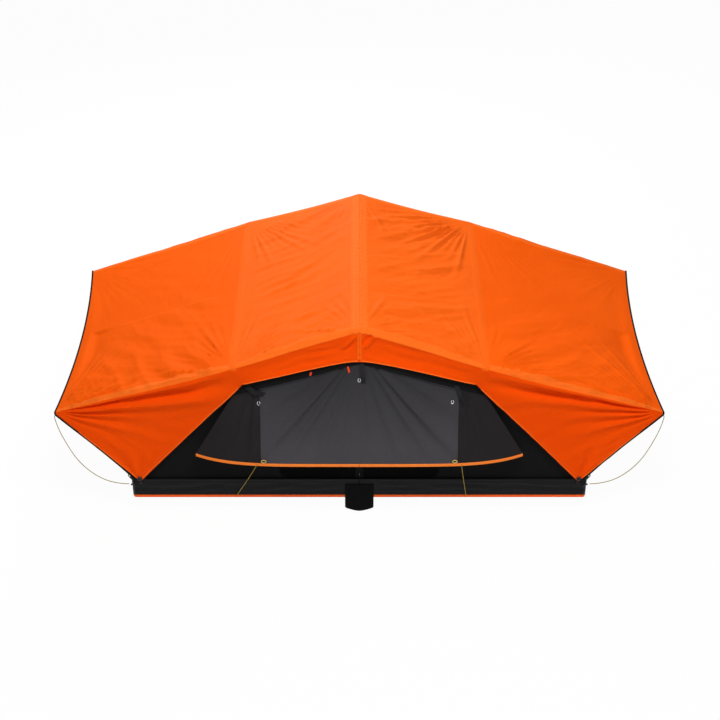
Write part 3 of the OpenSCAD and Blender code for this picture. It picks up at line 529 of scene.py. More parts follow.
def in_doorway(s, y, length):
    s0, s1, half_span, r = 170.0, length - 120.0, 400.0, 85.0
    inside = (s > s0) & (s < s1) & (np.abs(y) < half_span)
    ds = np.maximum(s0 + r - s, s - s1 + r)
    dy = np.abs(y) - half_span + r
    return inside & ~((ds > 0) & (dy > 0) & (np.hypot(ds, dy) > r))


def press_flat(piece, half, level, keep):
    """Rides its half of the base, with a mesh of its own."""
    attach(piece, half + "_half")
    tuple(at_fold([0, 0, level]))
    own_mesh(piece)


def join(name, pieces):
    with bpy.context.temp_override(active_object=pieces[0], selected_editable_objects=pieces):
        bpy.ops.object.join()
    pieces[0].name = name
    pieces[0].data.name = name
    return pieces[0]


def cell_mids(a):
    return (a[:-1, :-1] + a[1:, 1:]) / 2


body_level, open_share, wall_y = 84.0, 0.6, body_y - 0.4
for side, half in halves:
    beyond = np.linspace(body_corner, body_end - 8, 48)[1:]
    x, v = cross_grid(np.concatenate([np.linspace(0.3, body_corner, 64), beyond]), np.linspace(0, 1, 90))
    z = body_foot + v * (body_top(x) - body_foot)
    slack = 3.0 * (creases(x + 0.5 * z, z, 150, 700, 61 + side) - 0.6) * np.sin(np.pi * v)
    opened = cell_mids(in_window(x, z).astype(float)) > open_share
    walls, nets, area, net_area = [], [], 0, 0
    for face in (-1, 1):
        p = columns(side * x, face * (body_y - 2.2 + slack * 0.8), z)
        middle = (side * 500, 0, 400)
        walls.append(sewn_cloth("wall", p, cloth_thick, [body_black], keep_face=~opened, inside=middle))
        nets.append(sewn_cloth("net", p, net_thick, [mesh_black], keep_face=opened, inside=middle))
        area += cut_area(p, ~opened)
        net_area += cut_area(p, opened)
    # End wall, up the slope from the base end to the side bow
    slope_length = math.hypot(body_end - body_corner, float(body_top(body_corner)) - body_foot)
    s, y = cross_grid(np.linspace(0, slope_length, 76), np.linspace(-wall_y, wall_y, 110))
    give = -2 - 3 * np.sin(np.pi * s / slope_length) + 1.5 * drawn_folds(y + 0.3 * s, s, 210, 800, 71 + side)
    p = columns(side * (body_end - s * math.cos(end_lean) + give * math.sin(end_lean)), y,
                body_foot + s * math.sin(end_lean) + give * math.cos(end_lean))
    doorway = cell_mids(in_doorway(s, y, slope_length).astype(float)) > open_share
    walls.append(sewn_cloth("wall", p, cloth_thick, [body_black], keep_face=~doorway, inside=middle))
    end_net = sewn_cloth("end_mesh_%s_net" % half, p, net_thick, [mesh_black], keep_face=doorway,
                         inside=middle)
    area += cut_area(p, ~doorway)
    # Roof of the body, hanging a little under the fly
    t, y = cross_grid(np.linspace(0.3, body_corner, 40), np.linspace(-wall_y, wall_y, 60))
    hang = 6 + 34 * np.sin(np.pi * t / body_corner) ** 0.8 + 40 * (np.abs(y) / body_y) ** 14
    p = columns(side * t, y, body_ridge - roof_slope * t - hang)
    walls.append(sewn_cloth("wall", p, cloth_thick, [body_black], inside=middle))
    area += cut_area(p)
    body = join("tent_body_%s_cloth" % half, walls)
    nets = join("window_mesh_%s_net" % half, nets)
    stand_for(body, "tent_body_" + half)
    stand_for(nets, "window_mesh_" + half)
    stand_for(end_net, "end_mesh_" + half)
    for piece in (body, nets, end_net):
        press_flat(piece, half, body_level, 0.008)

# Window flap: a grey awning flap hung from under the arch, reaching out to a stiffened hem.
# The middle panel is grey, the gussets beside it and the header above are darker, and it is tied back
# by webbing straps with hooks. Yellow cords hold its hem down to the base.


def path_tree(name, inputs):
    shape = ("Geometry", "Geometry")
    return node_group(name, "Geometry", [shape, *inputs, ("Material", "Material")], [shape])


def finish_tree(tree, geometry, given, made):
    solid = add_node(tree, "GeometryNodeRealizeInstances", {"Geometry": geometry})
    smooth = add_node(tree, "GeometryNodeSetShadeSmooth", {"Geometry": solid.outputs[0]})
    paint = add_node(tree, "GeometryNodeSetMaterial",
                     {"Geometry": smooth.outputs[0], "Material": given["Material"]})
    tree.links.new(paint.outputs[0], made["Geometry"])


# Round trim along a path: binding, piping, webbing rings and cords
trim_tree, given, made = path_tree("round_trim", [("Radius", "Float", 0.003), ("Sides", "Int", 10)])
trim_ring = add_node(trim_tree, "GeometryNodeCurvePrimitiveCircle",
                     {"Resolution": given["Sides"], "Radius": given["Radius"]})
swept = {"Curve": given["Geometry"], "Profile Curve": trim_ring.outputs["Curve"], "Fill Caps": True}
trim_body = add_node(trim_tree, "GeometryNodeCurveToMesh", swept)
finish_tree(trim_tree, trim_body.outputs["Mesh"], given, made)

# Stitches along a path: short lengths of thread at an even pitch
stitch_inputs = [("Pitch", "Float", 0.008), ("Length", "Float", 0.005), ("Thread", "Float", 0.0006)]
stitch_tree, given, made = path_tree("stitch_row", stitch_inputs)
stitch_points = add_node(stitch_tree, "GeometryNodeResampleCurve",
                         {"Curve": given["Geometry"], "Length": given["Pitch"]}, mode="LENGTH")
stitch_shape = add_node(stitch_tree, "GeometryNodeMeshCylinder",
                        {"Vertices": 5, "Radius": given["Thread"], "Depth": given["Length"]})
stitch_way = add_node(stitch_tree, "GeometryNodeInputTangent")
stitch_turn = add_node(stitch_tree, "FunctionNodeAlignRotationToVector",
                       {"Vector": stitch_way.outputs[0]}, axis="Z")
placed = {"Points": stitch_points.outputs[0], "Instance": stitch_shape.outputs["Mesh"],
          "Rotation": stitch_turn.outputs[0]}
stitch_set = add_node(stitch_tree, "GeometryNodeInstanceOnPoints", placed)
finish_tree(stitch_tree, stitch_set.outputs["Instances"], given, made)


def along_path(name, paths, tree, **values):
    """Runs a path tree along one or more lists of points and keeps the result as a plain mesh."""
    data = bpy.data.curves.new(name, "CURVE")
    data.dimensions = "3D"
    for points in paths:
        points = at_fold(points)
        spline = data.splines.new("POLY")
        spline.points.add(len(points) - 1)
        spline.points.foreach_set("co", np.hstack([points, np.ones((len(points), 1))]).ravel())
    carrier = bpy.data.objects.new(name + "_path", data)
    scene.collection.objects.link(carrier)
    modifier = carrier.modifiers.new("path", "NODES")
    modifier.node_group = tree
    for item in tree.interface.items_tree:
        if item.in_out == "INPUT" and item.name in values:
            modifier[item.identifier] = values[item.name]
    made = carrier.evaluated_get(bpy.context.evaluated_depsgraph_get())
    mesh = bpy.data.meshes.new_from_object(made)
    mesh.name = name
    bpy.data.objects.remove(carrier)
    if not mesh.materials:
        mesh.materials.append(values["Material"])
    piece = bpy.data.objects.new(name, mesh)
    scene.collection.objects.link(piece)
    return piece


def trim(name, paths, radius, material, sides=8):
    return along_path(name, paths, trim_tree, Radius=radius, Sides=sides, Material=material)


def stitches(name, rows, material, thread=0.0005, pitch=0.008, length=0.0055):
    return along_path(name, rows, stitch_tree, Pitch=pitch, Length=length, Thread=thread, Material=material)


def smooth_route(points, count):
    """A smooth line through a few given points."""
    points = np.asarray(points, float)
    ends = np.vstack([2 * points[0] - points[1], points, 2 * points[-1] - points[-2]])
    t = np.linspace(0, len(points) - 1, count)
    i = np.minimum(t.astype(int), len(points) - 2)
    f = (t - i)[:, None]
    a, b, c, d = (ends[i + k] for k in range(4))
    squared = (2 * a - 5 * b + 4 * c - d) * f ** 2
    return 0.5 * (2 * b + (c - a) * f + squared + (3 * b - a - 3 * c + d) * f ** 3)


def route_length(points):
    return float(np.linalg.norm(np.diff(points, axis=0), axis=1).sum() / 1000)


def yellow_cord(name, line, node):
    """A thin cord along a line, from one piece of the tent to another."""
    cord = trim(name, [line], 0.002, cord_yellow)
    stand_for(cord, node)
    tuple(at_fold(line[0]))
    at_fold(line).tolist()
    return cord


def both_faces(points):
    """The points at the front, and the same at the back."""
    return [points, points * (1, -1, 1)]


def paint_shade_upwards(mat, low, high, least):
    """Paints shade into a cloth's colour, darker from one height up to another, where the fly's shadow falls
    on it.
    """
    tree = mat.node_tree
    colour = tree.nodes["Principled BSDF"].inputs["Base Color"]
    coords = tree.nodes["Texture Coordinate"].outputs["Object"]
    height = add_node(tree, "ShaderNodeSeparateXYZ", {0: coords}).outputs[2]
    fall = {"Value": height, "From Min": low, "From Max": high, "To Min": 1.0, "To Max": least}
    dim = add_node(tree, "ShaderNodeMapRange", fall).outputs[0]
    scaled = {0: colour.links[0].from_socket, "Scale": dim}
    dimmed = add_node(tree, "ShaderNodeVectorMath", scaled, operation="SCALE")
    tree.links.new(dimmed.outputs[0], colour)


flap_grey = cloth_finish("flap_grey", (0.044, 0.042, 0.047), (0.068, 0.065, 0.072), 0.75, 640, 0.0003, 3.0)
# Painted shade: the grey flap is darker towards its top, under the fly.
paint_shade_upwards(flap_grey, 0.45, 0.86, 0.5)
flap_dark = cloth_finish("flap_dark", (0.012, 0.010, 0.011), (0.022, 0.020, 0.021), 0.75, 640, 0.0003, 3.0)
hem_orange = hard_finish("hem_orange", (0.80, 0.16, 0.015), (0.95, 0.26, 0.03), 0.45, grain_scale=80)
webbing_black = cloth_finish("webbing_black", (0.009, 0.009, 0.010), (0.020, 0.020, 0.022), 0.6, 1100,
                             relief=0.0005)
hook_steel = hard_finish("hook_steel", grey(0.70), grey(0.85), 0.22, 1.0, grain_scale=120)
eyelet_brass = hard_finish("eyelet_brass", (0.60, 0.40, 0.09), (0.80, 0.57, 0.16), 0.35, 0.3,
                           grain_scale=120)
pull_red = hard_finish("pull_red", (0.75, 0.05, 0.01), (0.9, 0.09, 0.02), 0.5, grain_scale=200)
cord_yellow = hard_finish("cord_yellow", (0.24, 0.17, 0.02), (0.38, 0.28, 0.05), 0.7, grain_scale=350,
                          relief=0.0004)

bow_line, knee_line, knee_y = 634.0, 590.0, 718.0
arch_peak, arch_knee, arch_round = 876.0, 745.0, 0.11
hem_low, hem_height, hem_span = 308.0, 18.0, 846.0
hem_reach, hem_end_reach, hem_curve = 135.0, 46.0, 5
flap_top_y, flap_start_y = 692.0, 693.8
flap_wide, flap_drop = 690, 560
flap_level, flap_keep = 132.5, 0.004
panel_seam, panel_x = 0.62, 506.0
head_part, panel_part, gusset_part = 0.125, 0.7, 0.3
front_back = ((1, "front"), (-1, "back"))


def arch_height(t):
    """Height of the fly's arch over the window, from a rounded peak at the fold to the knee."""
    return arch_peak - (arch_peak - arch_knee) * (np.hypot(t, arch_round) - arch_round) \
        / (math.hypot(1, arch_round) - arch_round)


def panel_line(v, x=panel_x):
    """Where across the flap a line down it runs, which stays at the same x."""
    return x / (knee_line + (hem_span - knee_line) * v)


def header_line(s):
    return 0.055 + 0.15 * s


def flap_at(side, s, v, out):
    """Front flap of one half, from the fold (s 0) outwards and from the arch (v 0) down to the hem (v 1)."""
    s, v = np.broadcast_arrays(np.asarray(s, float), np.asarray(v, float))
    top = columns(s * knee_line, flap_top_y, arch_height(s) + 14)
    reach = flap_start_y + hem_reach - (hem_reach - hem_end_reach) * s ** hem_curve
    low = columns(s * hem_span, reach, hem_low + hem_height)
    p = top + (low - top) * v[..., None]
    # Folds that run down from the hook at the fold, and slack ones from the outer hook
    x, z = p[..., 0], p[..., 2]
    ray = np.arctan2(x, arch_peak + 60 - z)
    swell = np.sin(np.pi * np.clip(v, 0, 1)) ** 0.7
    folds = bells(ray, (8, 0.14, 0.05), (11, 0.36, 0.05), (16, 0.58, 0.045), (26, 0.74, 0.05),
                  (9, 0.98, 0.06))
    corner = np.arctan2(x - panel_x - 12, arch_height(0.85) - z + 60)
    drapes = bells(corner, (16, 0.07, 0.05), (14, 0.27, 0.055), (12, 0.50, 0.06))
    folds = folds + drapes * ease(x, panel_x - 30, panel_x + 30)
    sag = 10 * np.sin(np.pi * v) * (1 - s * s)
    folds = (folds + 2.5 * drawn_folds(x, z, 130, 500, 83 + 2 * side)) * ease(x, 0, 60)
    p[..., 1] += folds * swell * (1 - s ** 6) + out
    p[..., 2] -= sag * 0.4
    p[..., 1] -= sag * 0.5 * (1 - v)
    return p * (side, -1, 1)


for side, half in halves:
    c, q = cross_grid(np.linspace(0, 1, 111), np.linspace(0, 1, 65))
    header = header_line(c)
    below = header + (1 - header) * (q - head_part) / (1 - head_part)
    v = np.where(q < head_part, header * q / head_part, below)
    s_seam = panel_line(v)
    outside = s_seam + (1 - s_seam) * (c - panel_part) / gusset_part
    p = flap_at(side, np.where(c < panel_part, s_seam * c / panel_part, outside), v, 0.6)
    dark = np.where(q < head_part - 0.001, 2, c > panel_part - 0.001).astype(int)[:-1, :-1]
    for face, label in front_back:
        flap = sewn_cloth("window_flap_%s_%s" % (half, label), p * (1, face, 1), cloth_thick,
                          [flap_grey, flap_dark, body_black], dark)
        stand_for(flap, "window_flap_" + half)
        press_flat(flap, half, flap_level, flap_keep)
    # Panel seam, header seam and their stitches
    down = np.linspace(0.14, 0.985, 60)
    seam = flap_at(side, panel_line(down), down, 2.2)
    across = np.linspace(0.02, 0.97, 80)
    head = flap_at(side, across, header_line(across), 2.0)
    seam_row = trim("flap_seams_" + half, both_faces(seam) + both_faces(head), 0.0016, flap_dark, sides=6)
    beside = flap_at(side, panel_line(down, panel_x - 9), down, 1.6)
    seam_thread = stitches("flap_stitches_" + half, both_faces(beside), flap_grey, 0.0004, 0.005, 0.004)
    # Hem: a stiff orange piping along the lower edge, cut off square at its end
    line = flap_at(side, np.linspace(0.001, 1, 60), 1.0, 0.6)
    rows = sum((both_faces(line + (0, 0, -k)) for k in (2.5, 6.5, 10.5, 14.5)), [])
    hem = trim("flap_hem_%s_piping" % half, rows, 0.0031, hem_orange)
    stand_for(hem, "flap_hem_" + half)
    # Straps: one near the fold and one outside, each a loop of webbing sewn on at the top
    webs = []
    strap_places = {"fixed": [(0.92, 0.11, 0.74, 0.235)],
                    "folding": [(0.79, 0.12, 0.80, 0.36), (0.022, 0.03, 0.034, 0.23)]}
    for s_top, v_top, s_end, v_end in strap_places[half]:
        k, w = cross_grid(np.linspace(0, 1, 26), np.linspace(-13, 13, 5))
        way = np.array([(s_end - s_top) * flap_wide, (v_end - v_top) * flap_drop])
        way = way / np.linalg.norm(way)
        web = flap_at(side, np.clip(s_top + (s_end - s_top) * k + w * way[1] / flap_wide, 0, 1),
                      v_top + (v_end - v_top) * k - w * way[0] / flap_drop, 0)
        web[..., 1] -= 2.2 + 15 * np.sin(np.pi * k) ** 1.5
        webs += [sewn_cloth("web", shown, 1.4, [webbing_black]) for shown in both_faces(web)]
    straps = join("flap_straps_%s_webbing" % half, webs)
    stand_for(straps, "flap_straps_" + half)
    # Hooks: bent wire snap hooks hung from the straps
    bent = np.linspace(0.25, 2 * np.pi - 0.35, 40)
    wires = []
    hook_places = {"fixed": [(0.76, 0.32)], "folding": [(0.705, 0.31), (0.0, 0.195)]}
    for s_hook, v_hook in hook_places[half]:
        ring = columns(6.5 * np.sin(bent), 2.0 * np.sin(bent), 11 * np.cos(bent))
        wires += both_faces(flap_at(side, s_hook, v_hook, 5.5) + ring)
    hooks = trim("flap_hooks_%s_wire" % half, wires, 0.0018, hook_steel)
    stand_for(hooks, "flap_hooks_" + half)
    # Eyelets in the hem, and the cords from them to the base edge
    hole = flap_at(side, panel_seam, 1.0, 4.6) + (0, 0, -7)
    round_it = np.linspace(0, 2 * np.pi, 33)
    loop = hole + columns(12 * np.cos(round_it) - side * 34, -3.5, 9 * np.sin(round_it) + 22)
    eyelets = trim("hem_eyelets_%s_rings" % half, both_faces(loop), 0.002, eyelet_brass)
    stand_for(eyelets, "hem_eyelets_" + half)
    foot_x = {"fixed": 656.0, "folding": 568.0}
    foot = np.array([side * foot_x[half], -half_width - 2.4, 8.0])
    start = hole + (0, -2.5, 2)
    taut = np.linspace(0, 1, 5)[:, None]
    route = start + (foot - start) * taut - np.array([0, 0, 6]) * np.sin(np.pi * taut)
    line = smooth_route(route, 40)
    for face, label in front_back:
        drawn = line * (1, face, 1)
        cord = yellow_cord("flap_cord_%s_%s" % (half, label), drawn, "flap_cords_" + half)
        press_flat(cord, half, flap_level, flap_keep)
    for piece in (seam_row, seam_thread, hem, straps, hooks, eyelets):
        press_flat(piece, half, flap_level, flap_keep)

# Zip pulls: two short loops of orange-red cord that hang from the window's upper edge, left of the fold.
# Each is knotted to the slider of a zip, which the arch of the fly hides, and hangs a little aslant.
pulls = []
for place, drop, lean in ((0.095, 42.0, 0.22), (0.40, 20.0, -0.25)):
    hang = flap_at(-1, place, 0.06, 4.5)
    turn = np.linspace(-0.5 * np.pi, 1.5 * np.pi, 25)
    fall = drop * 0.5 * (np.sin(turn) - 1)
    loop = columns(3.2 * np.cos(turn) - lean * fall, -1.0, fall)
    pulls += both_faces(hang + loop)
zip_pulls = trim("zip_pulls_loops", pulls, 0.0026, pull_red)
stand_for(zip_pulls, "zip_pulls")
press_flat(zip_pulls, "fixed", flap_level, flap_keep)

# Rain fly, roof panels: orange coated polyester between the ridge and the side bows.
# At the front and back they turn down in a soft edge into valances that frame the windows. They ride
# on the middle bow.


def fly_cloth(name, dark, light, threads_per_m=700, relief=0.00022, crinkle=10.0, shine=0.01):
    return cloth_finish(name, dark, light, 0.6, threads_per_m, relief, crinkle, shine)


# The fly's orange comes in lit and shaded copies of one cloth; the roof tops take this lit one.
fly_orange = fly_cloth("fly_orange", (0.82, 0.106, 0.005), (0.93, 0.137, 0.009), shine=0.015)
# Darker copy of the same cloth for the valances and wings below the soft edges: painted shade.
fly_shaded_side = fly_cloth("fly_shaded_side", (0.80, 0.060, 0.001), (0.90, 0.078, 0.002))
# A little darker copy of the same cloth for the awning slopes and the band on the valance: painted shade.
fly_awning = fly_cloth("fly_awning", (0.83, 0.092, 0.002), (0.94, 0.119, 0.005))
# Lighter copy of the same cloth: the ridge band's orange, and a painted highlight on the rolled front and
# back edges.
fly_seam_and_highlight = fly_cloth("fly_seam_and_highlight", (0.87, 0.128, 0.009), (0.97, 0.163, 0.016), 900, 0.0003, shine=0.015)
# Brighter copy of the fly cloth on the folded hems under the arches and along the wings: a painted
# highlight.
hem_painted_highlight = fly_cloth("hem_painted_highlight", (0.90, 0.12, 0.006), (0.98, 0.17, 0.015), 900, 0.0002, 2.0, 0.02)
thread_orange = hard_finish("thread_orange", (0.65, 0.14, 0.02), (0.85, 0.25, 0.05), 0.6, grain_scale=300)
ridge_top, ridge_half, fly_half = 1071.8, 702, 740
fold_depth, roof_hem_steps = 0.004, 24


def lie_on_ridge(piece):
    """Rides the middle bow, with a mesh of its own."""
    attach(piece, "centre_bow")
    tuple(at_fold([0, 0, 0]))
    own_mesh(piece)


def fly_edge(t):
    """How far the roof reaches to the front, from the ridge (t 0) to the side bow (t 1)."""
    return ridge_half + (fly_half - ridge_half) * t * t - 9 * math.sin(math.pi * t)


def rolled_cut(hem, start, corner, end, top, hem_steps):
    """A cut from the front hem up, round the soft corner and over the top, and the same down at the back."""
    k = np.linspace(0, 1, hem_steps)[:-1, None]
    c = np.linspace(0, 1, 9)[:-1, None]
    roll = (1 - c) ** 2 * start + 2 * c * (1 - c) * corner + c * c * end
    half_cut = np.concatenate([hem + (start - hem) * k, roll, top])
    half_cut[:, 1] *= -1
    return np.concatenate([half_cut, half_cut[-2::-1] * (1, -1, 1)])


def roof_section(t):
    """One cut across a roof panel, from the front hem over the roof to the back hem."""
    x_top, x_low = t * bow_line, t * knee_line
    z_edge = ridge_top - roof_slope * x_top
    y_edge = fly_edge(t)
    hem = np.array([x_low, y_edge + 6 * (1 - t * t) + (knee_y - y_edge) * t * t, arch_height(t)])
    corner = np.array([x_top, y_edge, z_edge])
    soften = 22 - 12 * t + 14 * math.sin(math.pi * t)
    drop = hem - corner
    start = corner + drop * soften / np.linalg.norm(drop)
    end = corner - (0, soften * 1.3, 0)
    top = end + (np.array([x_top, 0, z_edge]) - end) * np.linspace(0, 1, 72)[:, None]
    return rolled_cut(hem, start, corner, end, top, roof_hem_steps)


def lifted(p, height, away_from=tent_middle):
    n, _ = grid_normals(p, away_from)
    return p + n * height[..., None]


def fan(ahead, aside, first, last, reach, seed, count=9):
    """Sharp creases that spread from a corner where the cloth is drawn, between two angles."""
    rng = np.random.RandomState(seed)
    strength, share = 0.3 + 0.7 * rng.rand(count), 0.55 + 0.45 * rng.rand(count)
    far = np.hypot(ahead, aside)
    turn = (np.arctan2(aside, ahead) - first) / (last - first) * count
    number = np.clip(np.floor(turn).astype(int), 0, count - 1)
    peak = np.clip(1 - np.abs(2 * (turn - number) - 1), 0, 1) ** 2
    length = reach * share[number]
    return peak * strength[number] * ease(far, 25, 150) * (1 - ease(far, length * 0.35, length))


def turned_axes(x, y, slant):
    return x * math.cos(slant) + y * math.sin(slant), -x * math.sin(slant) + y * math.cos(slant)


def roof_grid(side, seed):
    """Points of one roof panel with its sag, folds and creases, from hem to hem."""
    steps = np.linspace(0, 1, 76)
    p = np.stack([roof_section(t) for t in steps])
    t = steps[:, None] * np.ones(p.shape[1])[None]
    x, y, z = p[..., 0].copy(), p[..., 1].copy(), p[..., 2].copy()
    top = ease(z - (ridge_top - roof_slope * x), -26, -4)
    low = 1 - top
    hang = np.sin(np.pi * t) ** 0.6
    p[..., 2] -= top * 9 * np.sin(np.pi * t) ** 1.2 * (1 - 0.25 * (np.abs(y) / 745) ** 6)
    # The back edge is drawn straighter between the bows than the front one
    straighter = np.sin(np.pi * t) * ease(y, 450, 690)
    p[..., 1] += 16 * straighter
    p[..., 2] += 8 * straighter * top
    fly_edge_at = np.array([fly_edge(k) for k in steps])[:, None]
    # Folds drawn slantwise across the panel, and finer ones along its front and back edges
    slant = -0.60 if side < 0 else 0.55
    along, across = turned_axes(x, y, slant)
    w = top * hang * (12 * drawn_folds(across, along, 190, 800, seed)
                      + 6 * drawn_folds(y, x, 95, 500, seed + 3) * ease(np.abs(y), 250, 640)
                      + 15 * creases(across, along, 120, 1150, seed + 5)
                      + 8 * creases(across - 0.25 * along, along, 90, 900, seed + 6)
                      + 5 * creases(across + 0.2 * along, along, 60, 700, seed + 11))
    # Fans of creases from the ends of the side bow and of the ridge
    in_from_edge = fly_half + 2 - np.abs(y)
    back = np.where(y > 0, 1.0, 0.0)
    bow_fan = fan(bow_line - x, in_from_edge, 0.05, 1.45, 620 + 200 * back, seed + 9, 13)
    ridge_fan = fan(x, in_from_edge - 38, 0.05, 1.45, 480, seed + 10)
    w = w + top * ((18 + 5 * side * back) * bow_fan + 16 * ridge_fan)
    w = w * np.where(top > 0.02, ease(fly_edge_at - np.abs(y), 2, 70 + 130 * back), 1)
    # Valance: a roll under the edge, long level folds, and two pleats beside the ridge seam
    drop = np.clip((ridge_top - roof_slope * x - z) / 160, 0, 1)
    w = w + low * hang * (-13 * np.sin(np.pi * drop) + 4.0 * drawn_folds(z + 0.25 * x, x, 60, 520, seed + 7)
                           + 6.0 * creases(z + 0.3 * x, x, 70, 600, seed + 8))
    deep = ridge_top - z
    pleat = x - 0.8 * (deep - 20) if side < 0 else x - 90 + 0.8 * (deep - 32)
    pleats = bells(pleat, (13, 0, 11), (-11, -24, 15))
    w = w + low * pleats * ease(deep, 22, 50) * (1 - ease(deep, 100, 135))
    p = lifted(p, w * np.minimum(1, (6 + 8 * low) * t) * np.minimum(1, 8 * (1 - t)))
    p[..., 0] = np.maximum(p[..., 0], 0.2)
    return p * (side, 1, 1)


def upright_faces(p, edge_column):
    """Marks the faces below the soft front and back edges for the darker copy of the cloth, as painted
    shade, and the rolled edges for the lighter copy, as a painted highlight.
    """
    marks = np.ones((p.shape[0] - 1, p.shape[1] - 1), int)
    marks[:, edge_column:-edge_column] = 2
    marks[:, edge_column + 8:-edge_column - 8] = 0
    return marks


bow_seams = {}
for side, half in halves:
    p = roof_grid(side, 11 if side < 0 else 23)
    # Below its soft edges the roof takes the darker copy of the cloth, as painted shade, and its rolled
    # edges the lighter copy, as a painted highlight.
    roof = sewn_cloth("fly_roof_%s_cloth" % half, p, cloth_thick, [fly_orange, fly_shaded_side, fly_seam_and_highlight],
                      upright_faces(p, roof_hem_steps))
    stand_for(roof, "fly_roof_" + half)
    lie_on_ridge(roof)
    # Binding under the arch: a thin black tape on the hem, and the hem's stitches above it
    n, _ = grid_normals(p)
    arches = [p[:, j] for j in (0, -1)]
    binding = trim("arch_binding_" + half, arches, 0.0028, tape_black)
    rows = [p[1:, j] + n[1:, j] * 1.0 for j in (2, -3)]
    thread = stitches("arch_stitches_" + half, rows, thread_orange)
    # The hem's fold is a tube in the brighter copy of the cloth, a painted highlight.
    folded = [p[1:-1, j] + n[1:-1, j] * 0.6 for j in (1, -2)]
    hem_fold = trim("arch_hem_folds_" + half, folded, 0.0026, hem_painted_highlight)
    for piece in (binding, thread, hem_fold):
        lie_on_ridge(piece)
    bow_seams[half] = p[-4:]

# Ridge band: a doubled strip sewn over the seam between the two roof panels, puckered by its stitching.
# It follows the middle bow and turns down over the front and back edges.


def even_steps(line, count):
    """The same line cut into even steps."""
    s = run_along(line)
    return columns(*(np.interp(np.linspace(0, s[-1], count), s, line[:, k]) for k in range(3)))


ridge_steps, band_steps = 520, 31
ridge_line = even_steps(roof_section(0.0)[2:-2], ridge_steps)
ridge_length = 1000 * route_length(ridge_line)
band_half, strip_half = 44.0, 11.0
w, s = cross_grid(np.linspace(-1, 1, band_steps), np.linspace(0, ridge_length, ridge_steps))
on_top = ease(ridge_line[:, 2], ridge_top - 30, ridge_top - 4)
x = w * (strip_half + (band_half - strip_half) * on_top)
band = columns(x, ridge_line[:, 1], ridge_line[:, 2] - roof_slope * np.abs(x))
pucker = 3.4 * drawn_folds(s, w * 40, 34, 120, 91) * (1 - bell(np.abs(w), 0.55, 0.12)) * (1 - w ** 8)
seam_way = 0.06 + 0.05 * np.sin(s / 55) + 0.03 * np.sin(s / 23)
sewn_down = 2.2 - 0.7 * bell(np.abs(w), 0.55, 0.1) - 2.8 * bell(w, seam_way, 0.08) - 1.5 * w ** 6
band = lifted(band, pucker + sewn_down)
# On the valance the band takes the darker awning copy of the cloth, as painted shade.
on_valance = (ridge_line[:-1, 2] < ridge_top - 22).astype(int) * np.ones((band_steps - 1, 1), int)
ridge_band = sewn_cloth("fly_ridge_band", band, 1.0, [fly_seam_and_highlight, fly_awning], on_valance)
lie_on_ridge(ridge_band)
n, _ = grid_normals(band)
ridge_rows = [band[k] + n[k] * 0.7 for k in (7, 23)]
ridge_thread = stitches("ridge_stitches", ridge_rows, thread_orange, thread=0.0006)
lie_on_ridge(ridge_thread)

# Awning halves of the fly: the cloth goes on from the side bows to the awning rods, with wings at the
# front and back that are drawn down to the base corners. Creases run in from the tips where it is
# stretched. The panels swing in with the rods.
tip_x, tip_y, tip_z = 1559.0, 694.0, 556.0
wing_x, wing_z, tip_drop, hem_bow = 1155.0, 113.0, 14.0, 4.0
outer_cut, corner_row, wing_hem_steps, welt_steps = 40.0, 49, 46, 220
rod_pivot = (1214.0, 131.0)
rod_angle = math.radians(51.12)
bow_top = ridge_top - roof_slope * bow_line


def wing_hem(x):
    if x < wing_x:
        return arch_knee + (wing_z - arch_knee) * (x - knee_line) / (wing_x - knee_line)
    t = (x - wing_x) / (tip_x - wing_x)
    return wing_z + (tip_z - tip_drop - wing_z) * t + hem_bow * math.sin(math.pi * t)


def awning_section(u):
    """One cut across an awning half, from the side bow (u 0) to its outer edge (u 1)."""
    w = fly_half + (tip_y - fly_half) * u
    x_top = bow_line + u * (tip_x - bow_line)
    z_top = bow_top + (tip_z - bow_top) * u
    x_low = x_top - (1 - u) * (bow_line - knee_line)
    hem = np.array([x_low, w + (knee_y - w) * (1 - u), wing_hem(x_low)])
    corner = np.array([x_top, w, z_top])
    drop = hem - corner
    soften = max(2.0, 10 + 12 * math.sin(math.pi * min(1, u * 1.4)) - 9 * u)
    start = corner + drop * min(0.4, soften / max(1, np.linalg.norm(drop)))
    end = corner - (0, soften * 1.3, 0)
    top = end + (np.array([x_top, 0, z_top]) - end) * np.linspace(0, 1, 64)[:, None]
    inward = 1 - (top[:, 1] / w) ** 2
    top[:, 0] = x_top - outer_cut * inward * u * u
    top[:, 2] = z_top - 9 * math.sin(math.pi * u) * inward
    return rolled_cut(hem, start, corner, end, top, wing_hem_steps)


